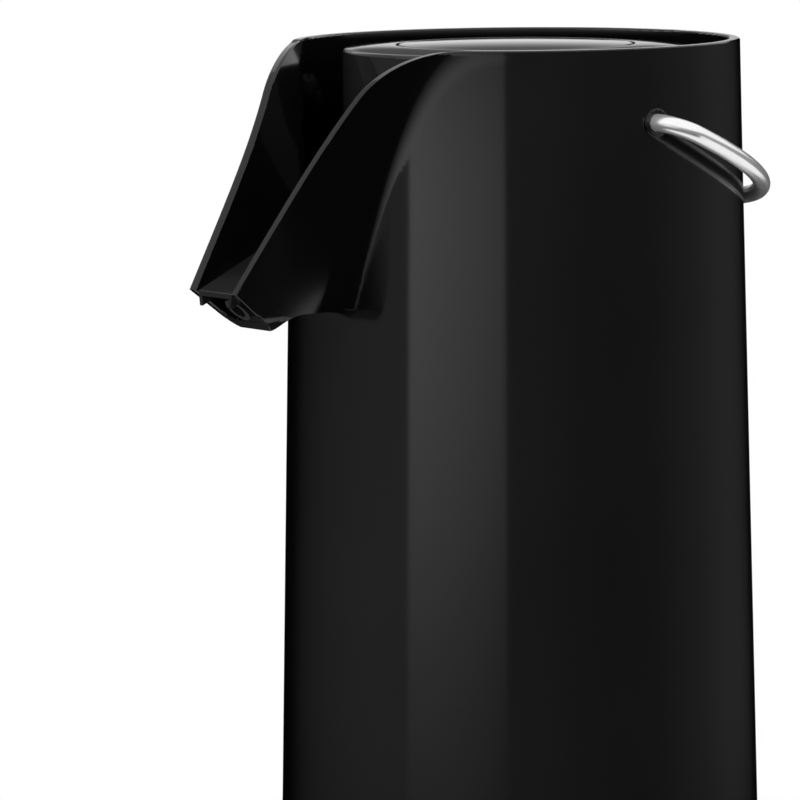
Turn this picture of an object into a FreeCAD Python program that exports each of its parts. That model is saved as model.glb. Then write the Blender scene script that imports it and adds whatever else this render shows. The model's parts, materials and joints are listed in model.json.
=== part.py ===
"""Pump thermal jug: a parametric assembly of separate pieces, written out as one STEP file per piece.

The jug stands on the origin with +Z up. The beak points along +X and the bail turns about the Y direction.
Every length is a named cell of the sheet, in millimetres; every other size is a formula of those cells.
"""
import FreeCAD, Part
import math
import os

import Sketcher
from FreeCAD import Vector

LENGTHS = {
    # whole jug
    "jug_height": 370.0,
    "rim_radius": 80.0,
    "base_radius": 88.0,
    "shell_wall": 4.0,
    "edge_round": 0.8,
    "cut_overrun": 2.0,
    "fit_gap": 0.3,
    "running_gap": 0.05,
    # beak, its length measured out from the rim and its tip up from the pump's floor
    "beak_length": 51.3,
    "beak_tip_rise": 8.5,
    "beak_tip_half_width": 14.9,
    "beak_floor_wall": 3.2,
    "beak_corner_radius": 7.0,
    "beak_root": 52.0,
    "beak_junction_round": 8.0,
    "lip_inset": 1.3,
    "lip_bend": 20.0,
    "chin_setback": 18.0,
    "chin_dip": 5.8,
    "chin_run": 11.3,
    # bottom closure
    "seam_height": 12.0,
    "foot_radius": 85.0,
    "foot_thickness": 3.0,
    "foot_proud": 1.0,
    "cap_plate": 3.5,
    "cap_spigot_height": 12.0,
    "cap_spigot_wall": 3.0,
    "base_post_radius": 3.6,
    "base_post_inset": 2.6,
    "base_post_height": 26.0,
    "base_screw_radius": 1.75,
    "base_screw_head_radius": 3.4,
    "base_screw_head_height": 2.0,
    "base_screw_length": 14.0,
    # flask
    "cushion_height": 27.5,
    "cushion_bore": 20.0,
    "cushion_foot_radius": 46.0,
    "cushion_lip_reach": 54.0,
    "liner_radius": 64.0,
    "liner_glass": 1.6,
    "liner_vacuum": 5.0,
    "liner_bottom_round": 30.0,
    "liner_neck_radius": 38.0,
    "liner_neck_height": 14.0,
    "liner_mouth_radius": 31.0,
    "liner_gasket_height": 3.0,
    "shoulder_plate": 4.0,
    "shoulder_skirt": 2.4,
    "shoulder_skirt_depth": 13.0,
    "shoulder_mouth_gap": 0.5,
    "ledge_width": 5.5,
    "ledge_height": 3.0,
    # bail
    "bail_drop": 26.0,
    "bail_rod_radius": 3.1,
    "bail_gap": 7.84,
    "bail_bend_radius": 9.0,
    "bail_tail": 1.6,
    "bail_boss_radius": 9.0,
    "bail_boss_depth": 2.0,
    "bush_radius": 5.0,
    "bush_proud": 0.6,
    "bush_flange_radius": 7.5,
    "bush_flange": 1.5,
    "clip_radius": 5.8,
    "clip_thickness": 1.2,
    # pump head
    "pump_depth": 91.0,
    "pump_radius": 61.8,
    "pump_wall": 2.4,
    "pump_recess": 1.8,
    "pump_top_fall": 1.2,
    "pump_edge_round": 1.5,
    "pump_floor": 3.3,
    "pump_rim_height": 4.0,
    "pump_rim_wall": 2.0,
    "pump_post_radius": 4.0,
    "pump_post_inset": 3.6,
    "pump_post_height": 18.0,
    "pump_screw_radius": 1.5,
    "pump_screw_head_radius": 3.0,
    "pump_screw_head_height": 1.8,
    "pump_screw_length": 11.0,
    "plug_radius": 27.5,
    "plug_wall": 2.4,
    "plug_depth": 17.0,
    "plug_flange": 1.5,
    "plug_gasket_height": 6.4,
    "plug_gasket_lip": 1.5,
    "plug_vent_radius": 2.5,
    "plug_vent_circle": 15.0,
    # button and bellows
    "button_radius": 42.0,
    "button_gap": 0.6,
    "button_skin": 2.4,
    "button_rise": 0.7,
    "button_skirt": 2.0,
    "button_flange": 2.0,
    "button_flange_reach": 2.4,
    "button_boss_radius": 14.4,
    "button_boss_wall": 2.4,
    "guide_wall": 2.4,
    "guide_depth": 38.0,
    "bellows_wall_radius": 38.4,
    "bellows_wall": 2.4,
    "bellows_plate_rise": 21.0,
    "bellows_plate": 3.0,
    "bellows_ring_radius": 31.2,
    "bellows_ring_wall": 1.4,
    "bellows_ring_height": 3.0,
    "bellows_radius": 37.0,
    "bellows_fold": 5.0,
    "bellows_skin": 1.2,
    "bellows_drop": 25.2,
    "bellows_cap": 2.5,
    "spring_radius": 22.0,
    "spring_wire_radius": 0.8,
    "valve_radius": 9.0,
    "valve_edge": 0.7,
    "valve_disc": 1.6,
    "valve_stem_radius": 1.6,
    "valve_bulb_radius": 2.4,
    "valve_bulb_height": 3.0,
    "valve_port_radius": 1.3,
    "valve_port_circle": 5.6,
    # way of the liquid
    "tube_offset": 14.0,
    "tube_radius": 5.0,
    "tube_bore": 3.6,
    "tube_foot": 50.0,
    "tube_top_drop": 11.0,
    "tube_boss_radius": 8.0,
    "tube_boss_rise": 2.0,
    "ball_radius": 4.2,
    "ball_lift": 0.4,
    "ball_room": 9.0,
    "pipe_radius": 4.3,
    "pipe_bore": 3.3,
    "pipe_collar": 4.0,
    "pipe_rise": 10.4,
    "pipe_bend_radius": 8.0,
    "pipe_nose_radius": 20.0,
    "pipe_nose_setback": 9.3,
    "pipe_nose_run": 8.0,
    "pipe_nose_drop": 8.0,
    "pipe_end_run": 3.6,
    "nozzle_wall": 1.0,
    "nozzle_length": 4.0,
    "nozzle_proud": 0.6,
    "seal_wall": 1.6,
    "seal_length": 6.0,
    "spout_cover_plate": 2.0,
    "spout_cover_wall": 1.6,
    "spout_cover_skirt": 3.4,
    "spout_cover_gap": 0.5,
    "spout_cover_inset": 1.0,
}
RATIOS = {
    "beak_lean": 0.16,
    "beak_flare_run_share": 0.7018,
    "beak_flare_share": 0.1858,
    "spout_cover_slope": 0.4526,
    "bail_tilt_degrees": 22.0,
}
BASE_SCREWS = 3
PUMP_SCREWS = 4
PLUG_VENTS = 3
VALVE_PORTS = 6
BELLOWS_FOLDS = 5
SPRING_TURNS = 6
ARCS_PER_TURN = 4
FULL_TURN = 360.0
HALF_TURN = 180.0
QUARTER_TURN = 90.0
FIRST_PUMP_SCREW = 45.0
FIRST_VENT = 60.0
GASKET_LIPS = 3

# How near a point must be to a surface to lie on it, and how many points of an edge are tried.
NEAR = 1e-2
POINTS_PER_EDGE = 7

# Places of the beak's sections along its run, as shares from root to tip.
BEAK_SECTION_SHARES = (0.0, 0.16, 0.32, 0.48, 0.64, 0.82, 1.0)

doc = FreeCAD.newDocument("pump_thermal_jug")
sheet = doc.addObject("Spreadsheet::Sheet", "Sizes")
for row, (alias, number) in enumerate({**LENGTHS, **RATIOS}.items(), start=1):
    sheet.set(f"A{row}", alias)
    sheet.set(f"B{row}", str(number))
    sheet.setAlias(f"B{row}", alias)
doc.recompute()


class Size:
    """A number together with the sheet formula that it comes from."""

    def __init__(self, value, formula):
        self.value = value
        self.formula = formula

    def __add__(self, other):
        other = as_size(other)
        return Size(self.value + other.value, f"({self.formula} + {other.formula})")

    def __sub__(self, other):
        other = as_size(other)
        return Size(self.value - other.value, f"({self.formula} - {other.formula})")

    def __mul__(self, other):
        other = as_size(other)
        return Size(self.value * other.value, f"({self.formula} * {other.formula})")

    def __truediv__(self, other):
        other = as_size(other)
        return Size(self.value / other.value, f"({self.formula} / {other.formula})")

    def __neg__(self):
        return Size(-self.value, f"(-1 * {self.formula})")

    def __rmul__(self, number):
        return as_size(number) * self

    def root(self):
        return Size(math.sqrt(self.value), f"sqrt({self.formula})")


def as_size(number):
    if isinstance(number, Size):
        return number
    return Size(float(number), repr(float(number)))


def size(alias):
    return Size(float(getattr(sheet, alias)), f"Sizes.{alias}")


NONE = as_size(0)


class Sheet:
    """Gives each cell of the sheet by its alias."""

    def __getattr__(self, alias):
        return size(alias)


S = Sheet()


# Levels and radii that several pieces share.

def shell_radius(level):
    """Outer radius of the tapered body at a level."""
    return S.base_radius - (S.base_radius - S.rim_radius) * level / S.jug_height


def bore_radius(level):
    """Inner radius of the tapered body at a level."""
    return shell_radius(level) - S.shell_wall


rim_level = S.jug_height
floor_level = rim_level - S.pump_depth
pump_floor_top = floor_level + S.pump_floor
pump_top = rim_level - S.pump_recess
plug_foot = floor_level - S.plug_depth
shoulder_foot = floor_level - S.shoulder_plate
mouth_level = shoulder_foot - S.liner_gasket_height
cap_floor = S.foot_thickness + S.cap_plate
liner_foot = cap_floor + S.cushion_height
neck_foot = mouth_level - S.liner_neck_height
shoulder_centre = neck_foot - (S.liner_radius - S.liner_neck_radius)
bottom_centre = liner_foot + S.liner_bottom_round
bottom_flat = S.liner_radius - S.liner_bottom_round
bail_level = rim_level - S.bail_drop
beak_reach = S.rim_radius + S.beak_length
beak_underside = floor_level
beak_tip = beak_underside + S.beak_tip_rise
beak_tip_drop = rim_level - beak_tip
chin_level = beak_underside - S.chin_dip
chin_reach = beak_reach - S.chin_setback
lip_start = S.rim_radius - S.lip_inset
lip_run = beak_reach - lip_start
beak_flare_run = S.beak_length * S.beak_flare_run_share
beak_flare = S.beak_length * S.beak_flare_share
beak_flare_reach = S.rim_radius + beak_flare_run
bellows_plate_foot = floor_level + S.bellows_plate_rise
bellows_foot = bellows_plate_foot + S.bellows_plate
bellows_top = pump_top - S.bellows_drop
cap_top = bellows_top + S.bellows_cap
guide_radius = S.button_radius + S.button_gap
guide_foot = pump_top - S.guide_depth
tube_top = floor_level - S.tube_top_drop
pipe_foot = tube_top + S.ball_room
pipe_level = floor_level + S.pipe_rise
base_post_circle = bore_radius(S.seam_height) - S.base_post_inset
pump_post_circle = S.pump_radius - S.pump_wall - S.pump_post_inset
inner_neck_radius = S.liner_mouth_radius + S.liner_glass
bush_flange_face = bore_radius(bail_level) - S.bail_boss_depth
clip_face = bush_flange_face - S.bush_flange - S.fit_gap
rod_end = clip_face - S.clip_thickness - S.bail_tail


# Document helpers.

def bind(item, path, amount):
    """Set a property of an object by the formula of a size."""
    item.setExpression(path, as_size(amount).formula)


def place(item, across=NONE, along=NONE, up=NONE):
    for axis, amount in (("x", across), ("y", along), ("z", up)):
        bind(item, f"Placement.Base.{axis}", amount)
    return item


def turn(item, axis, degrees):
    item.Placement = FreeCAD.Placement(Vector(), FreeCAD.Rotation(axis, degrees))
    return item


def cylinder(name, radius, height):
    item = doc.addObject("Part::Cylinder", name)
    bind(item, "Radius", radius)
    bind(item, "Height", height)
    return item


def fuse(name, items):
    item = doc.addObject("Part::MultiFuse", name)
    item.Shapes = items
    return item


def common(name, items):
    item = doc.addObject("Part::MultiCommon", name)
    item.Shapes = items
    return item


def cut(name, base, tool):
    item = doc.addObject("Part::Cut", name)
    item.Base = base
    item.Tool = tool
    return item


def group(name, items):
    item = doc.addObject("Part::Compound", name)
    item.Links = items
    return item


def around(count, first):
    """Directions of evenly spread items, as shares along X and Y."""
    steps = [math.radians(first + FULL_TURN * step / count) for step in range(count)]
    return [(math.cos(step), math.sin(step)) for step in steps]


def corner(across, up, arc=None, bulge=1):
    """A point of an outline. With arc, the edge that arrives at it is an arc of that radius.

    bulge is +1 when the arc's centre is to the left of the way from the last point, and -1 to the right.
    """
    return across, up, arc, bulge


def arc_between(start, end, radius, bulge):
    """The short arc between two points, always drawn counterclockwise."""
    chord = end - start
    side = Vector(-chord.y, chord.x, 0).normalize() * bulge
    rise = math.sqrt(max(radius ** 2 - (chord.Length / 2) ** 2, 0))
    centre = (start + end) * 0.5 + side * rise
    first, last = (start, end) if bulge > 0 else (end, start)
    angles = [math.atan2(point.y - centre.y, point.x - centre.x) for point in (first, last)]
    if angles[1] < angles[0]:
        angles[1] += 2 * math.pi
    return Part.ArcOfCircle(Part.Circle(centre, Vector(0, 0, 1), radius), *angles)


def pin_point(sketch, edge, end, across, up):
    """Tie one end of a sketch edge to its two sizes, measured from the sketch's origin."""
    for kind, amount, axis in (("DistanceX", across, -2), ("DistanceY", up, -1)):
        amount = as_size(amount)
        if abs(amount.value) < 1e-9:
            sketch.addConstraint(Sketcher.Constraint("PointOnObject", edge, end, axis))
            continue
        if amount.value > 0:
            rule = Sketcher.Constraint(kind, -1, 1, edge, end, amount.value)
        else:
            amount = -amount
            rule = Sketcher.Constraint(kind, edge, end, -1, 1, amount.value)
        index = sketch.addConstraint(rule)
        sketch.setExpression(f"Constraints[{index}]", amount.formula)


def draw(sketch, corners, closed=True):
    """Fill a sketch with lines and arcs through the corners, each tied to the sheet."""
    points = [Vector(as_size(item[0]).value, as_size(item[1]).value, 0) for item in corners]
    count = len(corners)
    edges = count if closed else count - 1
    for index in range(edges):
        following = (index + 1) % count
        arc = corners[following][2]
        if arc is None:
            sketch.addGeometry(Part.LineSegment(points[index], points[following]), False)
        else:
            bulge = corners[following][3]
            sketch.addGeometry(arc_between(points[index], points[following], arc.value, bulge), False)
    arrivals = [corners[(index + 1) % count] for index in range(edges)]
    starts_forward = [item[2] is None or item[3] > 0 for item in arrivals]
    for index in range(edges if closed else edges - 1):
        following = (index + 1) % edges
        here = 2 if starts_forward[index] else 1
        there = 1 if starts_forward[following] else 2
        sketch.addConstraint(Sketcher.Constraint("Coincident", index, here, following, there))
    for index in range(edges):
        start = 1 if starts_forward[index] else 2
        pin_point(sketch, index, start, corners[index][0], corners[index][1])
        arc = corners[(index + 1) % count][2]
        if arc is not None:
            rule = sketch.addConstraint(Sketcher.Constraint("Radius", index, arc.value))
            sketch.setExpression(f"Constraints[{rule}]", arc.formula)
    if not closed:
        last = edges - 1
        end = 2 if starts_forward[last] else 1
        pin_point(sketch, last, end, corners[-1][0], corners[-1][1])
    return sketch


def circle(sketch, across, up, radius):
    centre = Vector(as_size(across).value, as_size(up).value, 0)
    index = sketch.addGeometry(Part.Circle(centre, Vector(0, 0, 1), radius.value), False)
    pin_point(sketch, index, 3, across, up)
    rule = sketch.addConstraint(Sketcher.Constraint("Radius", index, radius.value))
    sketch.setExpression(f"Constraints[{rule}]", radius.formula)
    return sketch


def attached_sketch(body, name, role):
    """A sketch of a body on one of the body's own origin planes."""
    plane = [feature for feature in body.Origin.OriginFeatures if feature.Role == role][0]
    sketch = body.newObject("Sketcher::SketchObject", name)
    sketch.AttachmentSupport = [(plane, "")]
    sketch.MapMode = "FlatFace"
    return sketch


def turned_body(name, corners):
    """A body of revolution about the vertical axis, from its half section in X and Z."""
    body = doc.addObject("PartDesign::Body", name)
    sketch = draw(attached_sketch(body, f"{name}_section", "XZ_Plane"), corners)
    feature = body.newObject("PartDesign::Revolution", f"{name}_turned")
    feature.Profile = sketch
    feature.ReferenceAxis = (sketch, ["V_Axis"])
    feature.Angle = FULL_TURN
    return body


def side_prism(name, corners, half_width):
    """A prism across the jug, from an outline in X and Z."""
    body = doc.addObject("PartDesign::Body", name)
    sketch = draw(attached_sketch(body, f"{name}_outline", "XZ_Plane"), corners)
    feature = body.newObject("PartDesign::Pad", f"{name}_pad")
    feature.Profile = sketch
    bind(feature, "Length", half_width * 2)
    feature.Midplane = True
    return body


def holes(name, places, radius, foot, height):
    """Upright cylinders at a list of places, as one tool."""
    tools = []
    for index, (across, along) in enumerate(places):
        tool = cylinder(f"{name}_{index}", radius, height)
        tools.append(place(tool, across, along, foot))
    return tools[0] if len(tools) == 1 else group(name, tools)


def polar(circle_radius, count, first):
    return [(circle_radius * east, circle_radius * north) for east, north in around(count, first)]


sub_parts = []


def sub_part(item, name):
    """Keep an object as a piece of the jug, under the name that its file gets."""
    item.Label = name
    sub_parts.append(item)
    return item


# The outer shell and its beak.

def beak_section(reach, inset, foot, top):
    """One closed U-shaped section across the beak: leaning walls, rounded bottom corners, open side up."""
    flare_run = max(beak_flare_reach.value - reach, 0)
    flare = beak_flare.value * (flare_run / beak_flare_run.value) ** 2
    lean = S.beak_lean.value + flare / beak_tip_drop.value
    at_tip = S.beak_tip_half_width.value - inset * math.hypot(1, lean)

    def wall(level):
        return at_tip + lean * (level - beak_tip.value)

    corner_radius = S.beak_corner_radius.value - min(inset, S.shell_wall.value)
    slant = math.atan(lean)
    tangent = corner_radius * math.tan((math.pi / 2 - slant) / 2)
    floor_end = Vector(reach, wall(foot) - tangent, foot)
    wall_end = Vector(reach, wall(foot) + tangent * math.sin(slant), foot + tangent * math.cos(slant))
    centre = floor_end + Vector(0, 0, corner_radius)
    outward = Vector(0, wall(foot), foot) - Vector(0, centre.y, centre.z)
    middle = centre + outward.normalize() * corner_radius
    rim_end = Vector(reach, wall(top), top)
    right = [rim_end, wall_end, middle, floor_end]
    left = [Vector(point.x, -point.y, point.z) for point in right]
    edges = [
        Part.makeLine(left[0], left[1]),
        Part.Arc(left[1], left[2], left[3]).toShape(),
        Part.makeLine(left[3], right[3]),
        Part.Arc(right[3], right[2], right[1]).toShape(),
        Part.makeLine(right[1], right[0]),
        Part.makeLine(right[0], left[0]),
    ]
    return Part.Wire(edges)


def beak_loft(name, inset, foot, top, overrun):
    """Solid of the beak drawn in by an inset, through sections that flare towards the body."""
    root = (S.beak_root - overrun).value
    run = (beak_reach + S.lip_bend + overrun).value - root
    reaches = [root + share * run for share in BEAK_SECTION_SHARES]
    form = doc.addObject("Part::Feature", name)
    sections = [beak_section(reach, inset.value, foot.value, top.value) for reach in reaches]
    form.Shape = Part.makeLoft(sections, True, False)
    return form


def underside_block(name, rise):
    """Everything under the beak: a flat underside that curves down to the chin, raised by a wall."""
    drop = S.chin_dip
    bend = (S.chin_run * S.chin_run + drop * drop) / (drop * 2)
    flat_end = chin_reach - S.chin_run
    level = beak_underside + rise
    bend_share = (bend + rise) / bend
    toe = flat_end + S.chin_run * bend_share
    toe_level = beak_underside - bend + (bend - drop) * bend_share
    below = chin_level - S.lip_bend
    return side_prism(name, [
        corner(NONE, below),
        corner(toe, below),
        corner(toe, toe_level),
        corner(flat_end, level, bend + rise, 1),
        corner(NONE, level),
    ], S.base_radius)


def beak_form(name, inset, floor_wall, top, overrun):
    """The beak's solid with its flat underside and chin."""
    loft = beak_loft(f"{name}_loft", inset, chin_level + floor_wall, top, overrun)
    return cut(name, loft, underside_block(f"{name}_underside", floor_wall))


def body_cone(name, inset, foot, top):
    """The tapered body as a solid cone, drawn in by an inset."""
    form = doc.addObject("Part::Cone", name)
    bind(form, "Radius1", shell_radius(foot) - inset)
    bind(form, "Radius2", shell_radius(top) - inset)
    bind(form, "Height", top - foot)
    turn(form, Vector(0, 0, 1), HALF_TURN)
    return place(form, up=foot)


def on_body(point, inset):
    """Whether a point lies on the tapered body drawn in by an inset."""
    radius = math.hypot(point.x, point.y)
    return abs(radius - shell_radius(Size(point.z, "")).value + inset.value) < NEAR


def junction_edges(shape, inset):
    """Edges where the beak leaves the tapered body."""
    found = []
    for index, edge in enumerate(shape.Edges, start=1):
        points = edge.discretize(POINTS_PER_EDGE)
        outward = all(point.x > 0 for point in points)
        level = edge.CenterOfGravity.z
        upright = edge.BoundBox.YLength < NEAR
        inside = chin_level.value < level < rim_level.value and not upright
        if outward and inside and all(on_body(point, inset) for point in points):
            found.append(index)
    return found


def cut_edges(shape, tool):
    """Edges that a cutting tool left on a shape, apart from those that repeat the tool's own edges."""
    tool_edges = Part.Compound(tool.Edges)
    found = []
    for index, edge in enumerate(shape.Edges, start=1):
        points = [Part.Vertex(point) for point in edge.discretize(POINTS_PER_EDGE)]
        on_tool = all(tool.distToShape(point)[0] < NEAR for point in points)
        repeated = all(tool_edges.distToShape(point)[0] < NEAR for point in points)
        if on_tool and not repeated:
            found.append(index)
    return found


def rounded(name, base, edges, radius):
    item = doc.addObject("Part::Fillet", name)
    item.Base = base
    item.Edges = [(index, radius.value, radius.value) for index in edges]
    return item


def lip_cutter():
    """Everything above the rim and the beak's lips, and everything beyond the beak's slanted end."""
    slope_length = (lip_run * lip_run + beak_tip_drop * beak_tip_drop).root()
    bend_point = lip_start
    bend_radius = S.lip_bend * (slope_length + lip_run) / beak_tip_drop
    bend_end = S.lip_bend / slope_length
    far = S.base_radius + S.base_radius * 0.2
    beyond = beak_reach + S.lip_bend
    above = rim_level + S.cut_overrun * 2
    end_share = 1.6
    end_foot = beak_tip - (beak_tip - chin_level) * end_share
    end_reach = beak_reach - S.chin_setback * end_share
    return side_prism("lip_cutter", [
        corner(-far, rim_level),
        corner(bend_point - S.lip_bend, rim_level),
        corner(bend_point + lip_run * bend_end, rim_level - beak_tip_drop * bend_end, bend_radius, -1),
        corner(beak_reach, beak_tip),
        corner(end_reach, end_foot),
        corner(beyond, end_foot),
        corner(beyond, above),
        corner(-far, above),
    ], far)


def bail_cylinder(name, radius, start, end, side):
    """A cylinder along the bail's pivot axis on one side, between two distances from the jug's axis."""
    item = cylinder(name, radius, end - start)
    turn(item, Vector(1, 0, 0), -QUARTER_TURN * side)
    return place(item, along=start * side, up=bail_level)


SIDES = (("left", 1), ("right", -1))


def outer_shell():
    """The tapered body and its beak, hollow, with the ledge, the posts and the bail's bosses inside."""
    top = rim_level + S.cut_overrun
    outside = fuse("shell_outside", [
        body_cone("shell_cone", NONE, S.seam_height, top),
        beak_form("beak_outside", NONE, NONE, top, NONE),
    ])
    doc.recompute()
    blended = rounded("shell_blend", outside, junction_edges(outside.Shape, NONE), S.beak_junction_round)
    inside = fuse("shell_inside", [
        body_cone("shell_bore", S.shell_wall, S.seam_height - S.cut_overrun, top + S.cut_overrun),
        beak_form("beak_inside", S.shell_wall, S.beak_floor_wall, top + S.cut_overrun * 2, S.cut_overrun),
    ])
    doc.recompute()
    core = rounded("shell_core", inside, junction_edges(inside.Shape, S.shell_wall),
                   S.beak_junction_round + S.shell_wall)
    hollow = cut("shell_hollow", blended, core)
    ledge_bore = bore_radius(floor_level) - S.ledge_width
    ledge_root = bore_radius(floor_level) + S.shell_wall / 2
    ledge_top = floor_level + S.ledge_height
    ledge = turned_body("shell_ledge", [
        corner(ledge_bore, floor_level),
        corner(ledge_root, floor_level),
        corner(ledge_root, ledge_top),
        corner(ledge_bore, ledge_top),
    ])
    posts = holes("shell_posts", polar(base_post_circle, BASE_SCREWS, 0), S.base_post_radius,
                  cap_floor, S.base_post_height)
    mid_wall = shell_radius(bail_level) - S.shell_wall / 2
    bosses = [bail_cylinder(f"bail_boss_{name}", S.bail_boss_radius, bush_flange_face, mid_wall, side)
              for name, side in SIDES]
    solid = fuse("shell_solid", [hollow, ledge, posts] + bosses)
    screw_holes = holes("shell_screw_holes", polar(base_post_circle, BASE_SCREWS, 0),
                        S.base_screw_radius + S.running_gap, cap_floor - S.cut_overrun,
                        S.base_screw_length)
    bores = [bail_cylinder(f"bail_bore_{name}", S.bush_radius + S.running_gap,
                           bush_flange_face - S.cut_overrun, shell_radius(bail_level) + S.cut_overrun, side)
             for name, side in SIDES]
    cutter = lip_cutter()
    trimmed = cut("shell_trimmed", solid, group("shell_tools", [cutter, screw_holes] + bores))
    doc.recompute()
    return rounded("outer_shell", trimmed, cut_edges(trimmed.Shape, cutter.Shape), S.edge_round)


# The bottom closure.

def base_cap():
    """Bottom cap: plate, outer wall flush with the shell, and a spigot notched for the shell's posts."""
    spigot = bore_radius(S.seam_height) - S.fit_gap
    spigot_top = S.seam_height + S.cap_spigot_height
    spigot_bore = spigot - S.cap_spigot_wall
    foot_recess = S.foot_radius + S.fit_gap
    turned = turned_body("cap_turned", [
        corner(NONE, S.foot_thickness),
        corner(foot_recess, S.foot_thickness),
        corner(foot_recess, S.foot_proud),
        corner(shell_radius(S.foot_proud), S.foot_proud),
        corner(shell_radius(S.seam_height), S.seam_height),
        corner(spigot, S.seam_height),
        corner(spigot, spigot_top),
        corner(spigot_bore, spigot_top),
        corner(spigot_bore, cap_floor),
        corner(NONE, cap_floor),
    ])
    places = polar(base_post_circle, BASE_SCREWS, 0)
    notches = holes("cap_notches", places, S.base_post_radius + S.fit_gap, cap_floor, S.base_post_height)
    bores = holes("cap_bores", places, S.base_screw_radius + S.fit_gap, NONE, S.base_post_height)
    seats = holes("cap_seats", places, S.base_screw_head_radius + S.fit_gap, NONE,
                  S.foot_thickness + S.base_screw_head_height)
    return cut("base_cap", turned, group("cap_tools", [notches, bores, seats]))


def screw_set(name, places, head_foot, head_radius, head_height, shank_radius, length):
    """Identical upright screws, each a separate solid, heads down."""
    screws = []
    for index, (across, along) in enumerate(places):
        head = cylinder(f"{name}_head_{index}", head_radius, head_height)
        shank = cylinder(f"{name}_shank_{index}", shank_radius, length)
        place(head, across, along, head_foot)
        place(shank, across, along, head_foot)
        screws.append(fuse(f"{name}_{index}", [head, shank]))
    return group(name, screws)


def base_screws():
    return screw_set("base_screws", polar(base_post_circle, BASE_SCREWS, 0), S.foot_thickness,
                     S.base_screw_head_radius, S.base_screw_head_height, S.base_screw_radius,
                     S.base_screw_length)


def foot_pad():
    return cylinder("foot_pad", S.foot_radius, S.foot_thickness)


def liner_cushion():
    """Rubber cup under the flask; its top follows the flask's rounded bottom at a small gap."""
    seat = S.liner_bottom_round + S.fit_gap
    reach = S.cushion_lip_reach - bottom_flat
    lip_level = bottom_centre - (seat * seat - reach * reach).root()
    return turned_body("liner_cushion", [
        corner(S.cushion_bore, cap_floor),
        corner(S.cushion_foot_radius, cap_floor),
        corner(S.cushion_lip_reach, lip_level),
        corner(bottom_flat, bottom_centre - seat, seat, -1),
        corner(S.cushion_bore, bottom_centre - seat),
    ])


# The flask and its collar.

def glass_half(outside, neck):
    """Corners of one face of a flask wall, from the axis at the bottom up to the neck."""
    drawn_in = S.liner_radius - outside
    bottom_arc = S.liner_bottom_round - drawn_in
    shoulder_arc = S.liner_radius - S.liner_neck_radius - drawn_in
    return [
        corner(NONE, liner_foot + drawn_in),
        corner(bottom_flat, liner_foot + drawn_in),
        corner(outside, bottom_centre, bottom_arc, 1),
        corner(outside, shoulder_centre),
        corner(S.liner_neck_radius, shoulder_centre + shoulder_arc, shoulder_arc, 1),
        corner(neck, shoulder_centre + shoulder_arc),
    ]


def reverse_face(corners):
    """The same corners walked the other way, with each arc kept on its own edge."""
    turned = []
    arrivals = [None] + [(item[2], -item[3]) for item in reversed(corners[1:])]
    for item, arrival in zip(reversed(corners), arrivals):
        if arrival is None or arrival[0] is None:
            turned.append(corner(item[0], item[1]))
        else:
            turned.append(corner(item[0], item[1], arrival[0], arrival[1]))
    return turned


def liner_outer_glass():
    """Outer wall of the flask, with the rolled lip that closes the vacuum at the mouth."""
    outer = glass_half(S.liner_radius, S.liner_neck_radius)[:-1]
    inner = glass_half(S.liner_radius - S.liner_glass, S.liner_neck_radius - S.liner_glass)
    lip_under = mouth_level - S.liner_glass
    lip = [
        corner(S.liner_neck_radius, mouth_level),
        corner(inner_neck_radius, mouth_level),
        corner(inner_neck_radius, lip_under),
        corner(S.liner_neck_radius - S.liner_glass, lip_under),
    ]
    return turned_body("liner_outer_glass", outer + lip + reverse_face(inner))


def liner_inner_glass():
    """Inner wall of the flask, which holds the drink."""
    outside = S.liner_radius - S.liner_glass - S.liner_vacuum
    outer = glass_half(outside, inner_neck_radius)
    inner = glass_half(outside - S.liner_glass, S.liner_mouth_radius)
    mouth = [corner(inner_neck_radius, mouth_level), corner(S.liner_mouth_radius, mouth_level)]
    return turned_body("liner_inner_glass", outer + mouth + reverse_face(inner))


def ring(name, inside, outside, foot, top):
    return turned_body(name, [
        corner(inside, foot),
        corner(outside, foot),
        corner(outside, top),
        corner(inside, top),
    ])


def liner_gasket():
    return ring("liner_gasket", S.liner_mouth_radius + S.shoulder_mouth_gap, S.liner_neck_radius,
                mouth_level, shoulder_foot)


def shoulder_ring():
    """Collar under the shell's ledge, with a skirt round the flask's neck."""
    outside = bore_radius(floor_level) - S.fit_gap
    skirt_bore = S.liner_neck_radius + S.shoulder_mouth_gap
    skirt = skirt_bore + S.shoulder_skirt
    skirt_foot = shoulder_foot - S.shoulder_skirt_depth
    return turned_body("shoulder_ring", [
        corner(S.liner_mouth_radius + S.shoulder_mouth_gap, shoulder_foot),
        corner(skirt_bore, shoulder_foot),
        corner(skirt_bore, skirt_foot),
        corner(skirt, skirt_foot),
        corner(skirt, shoulder_foot),
        corner(outside, shoulder_foot),
        corner(outside, floor_level),
        corner(S.liner_mouth_radius + S.shoulder_mouth_gap, floor_level),
    ])


# The bail.

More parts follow.
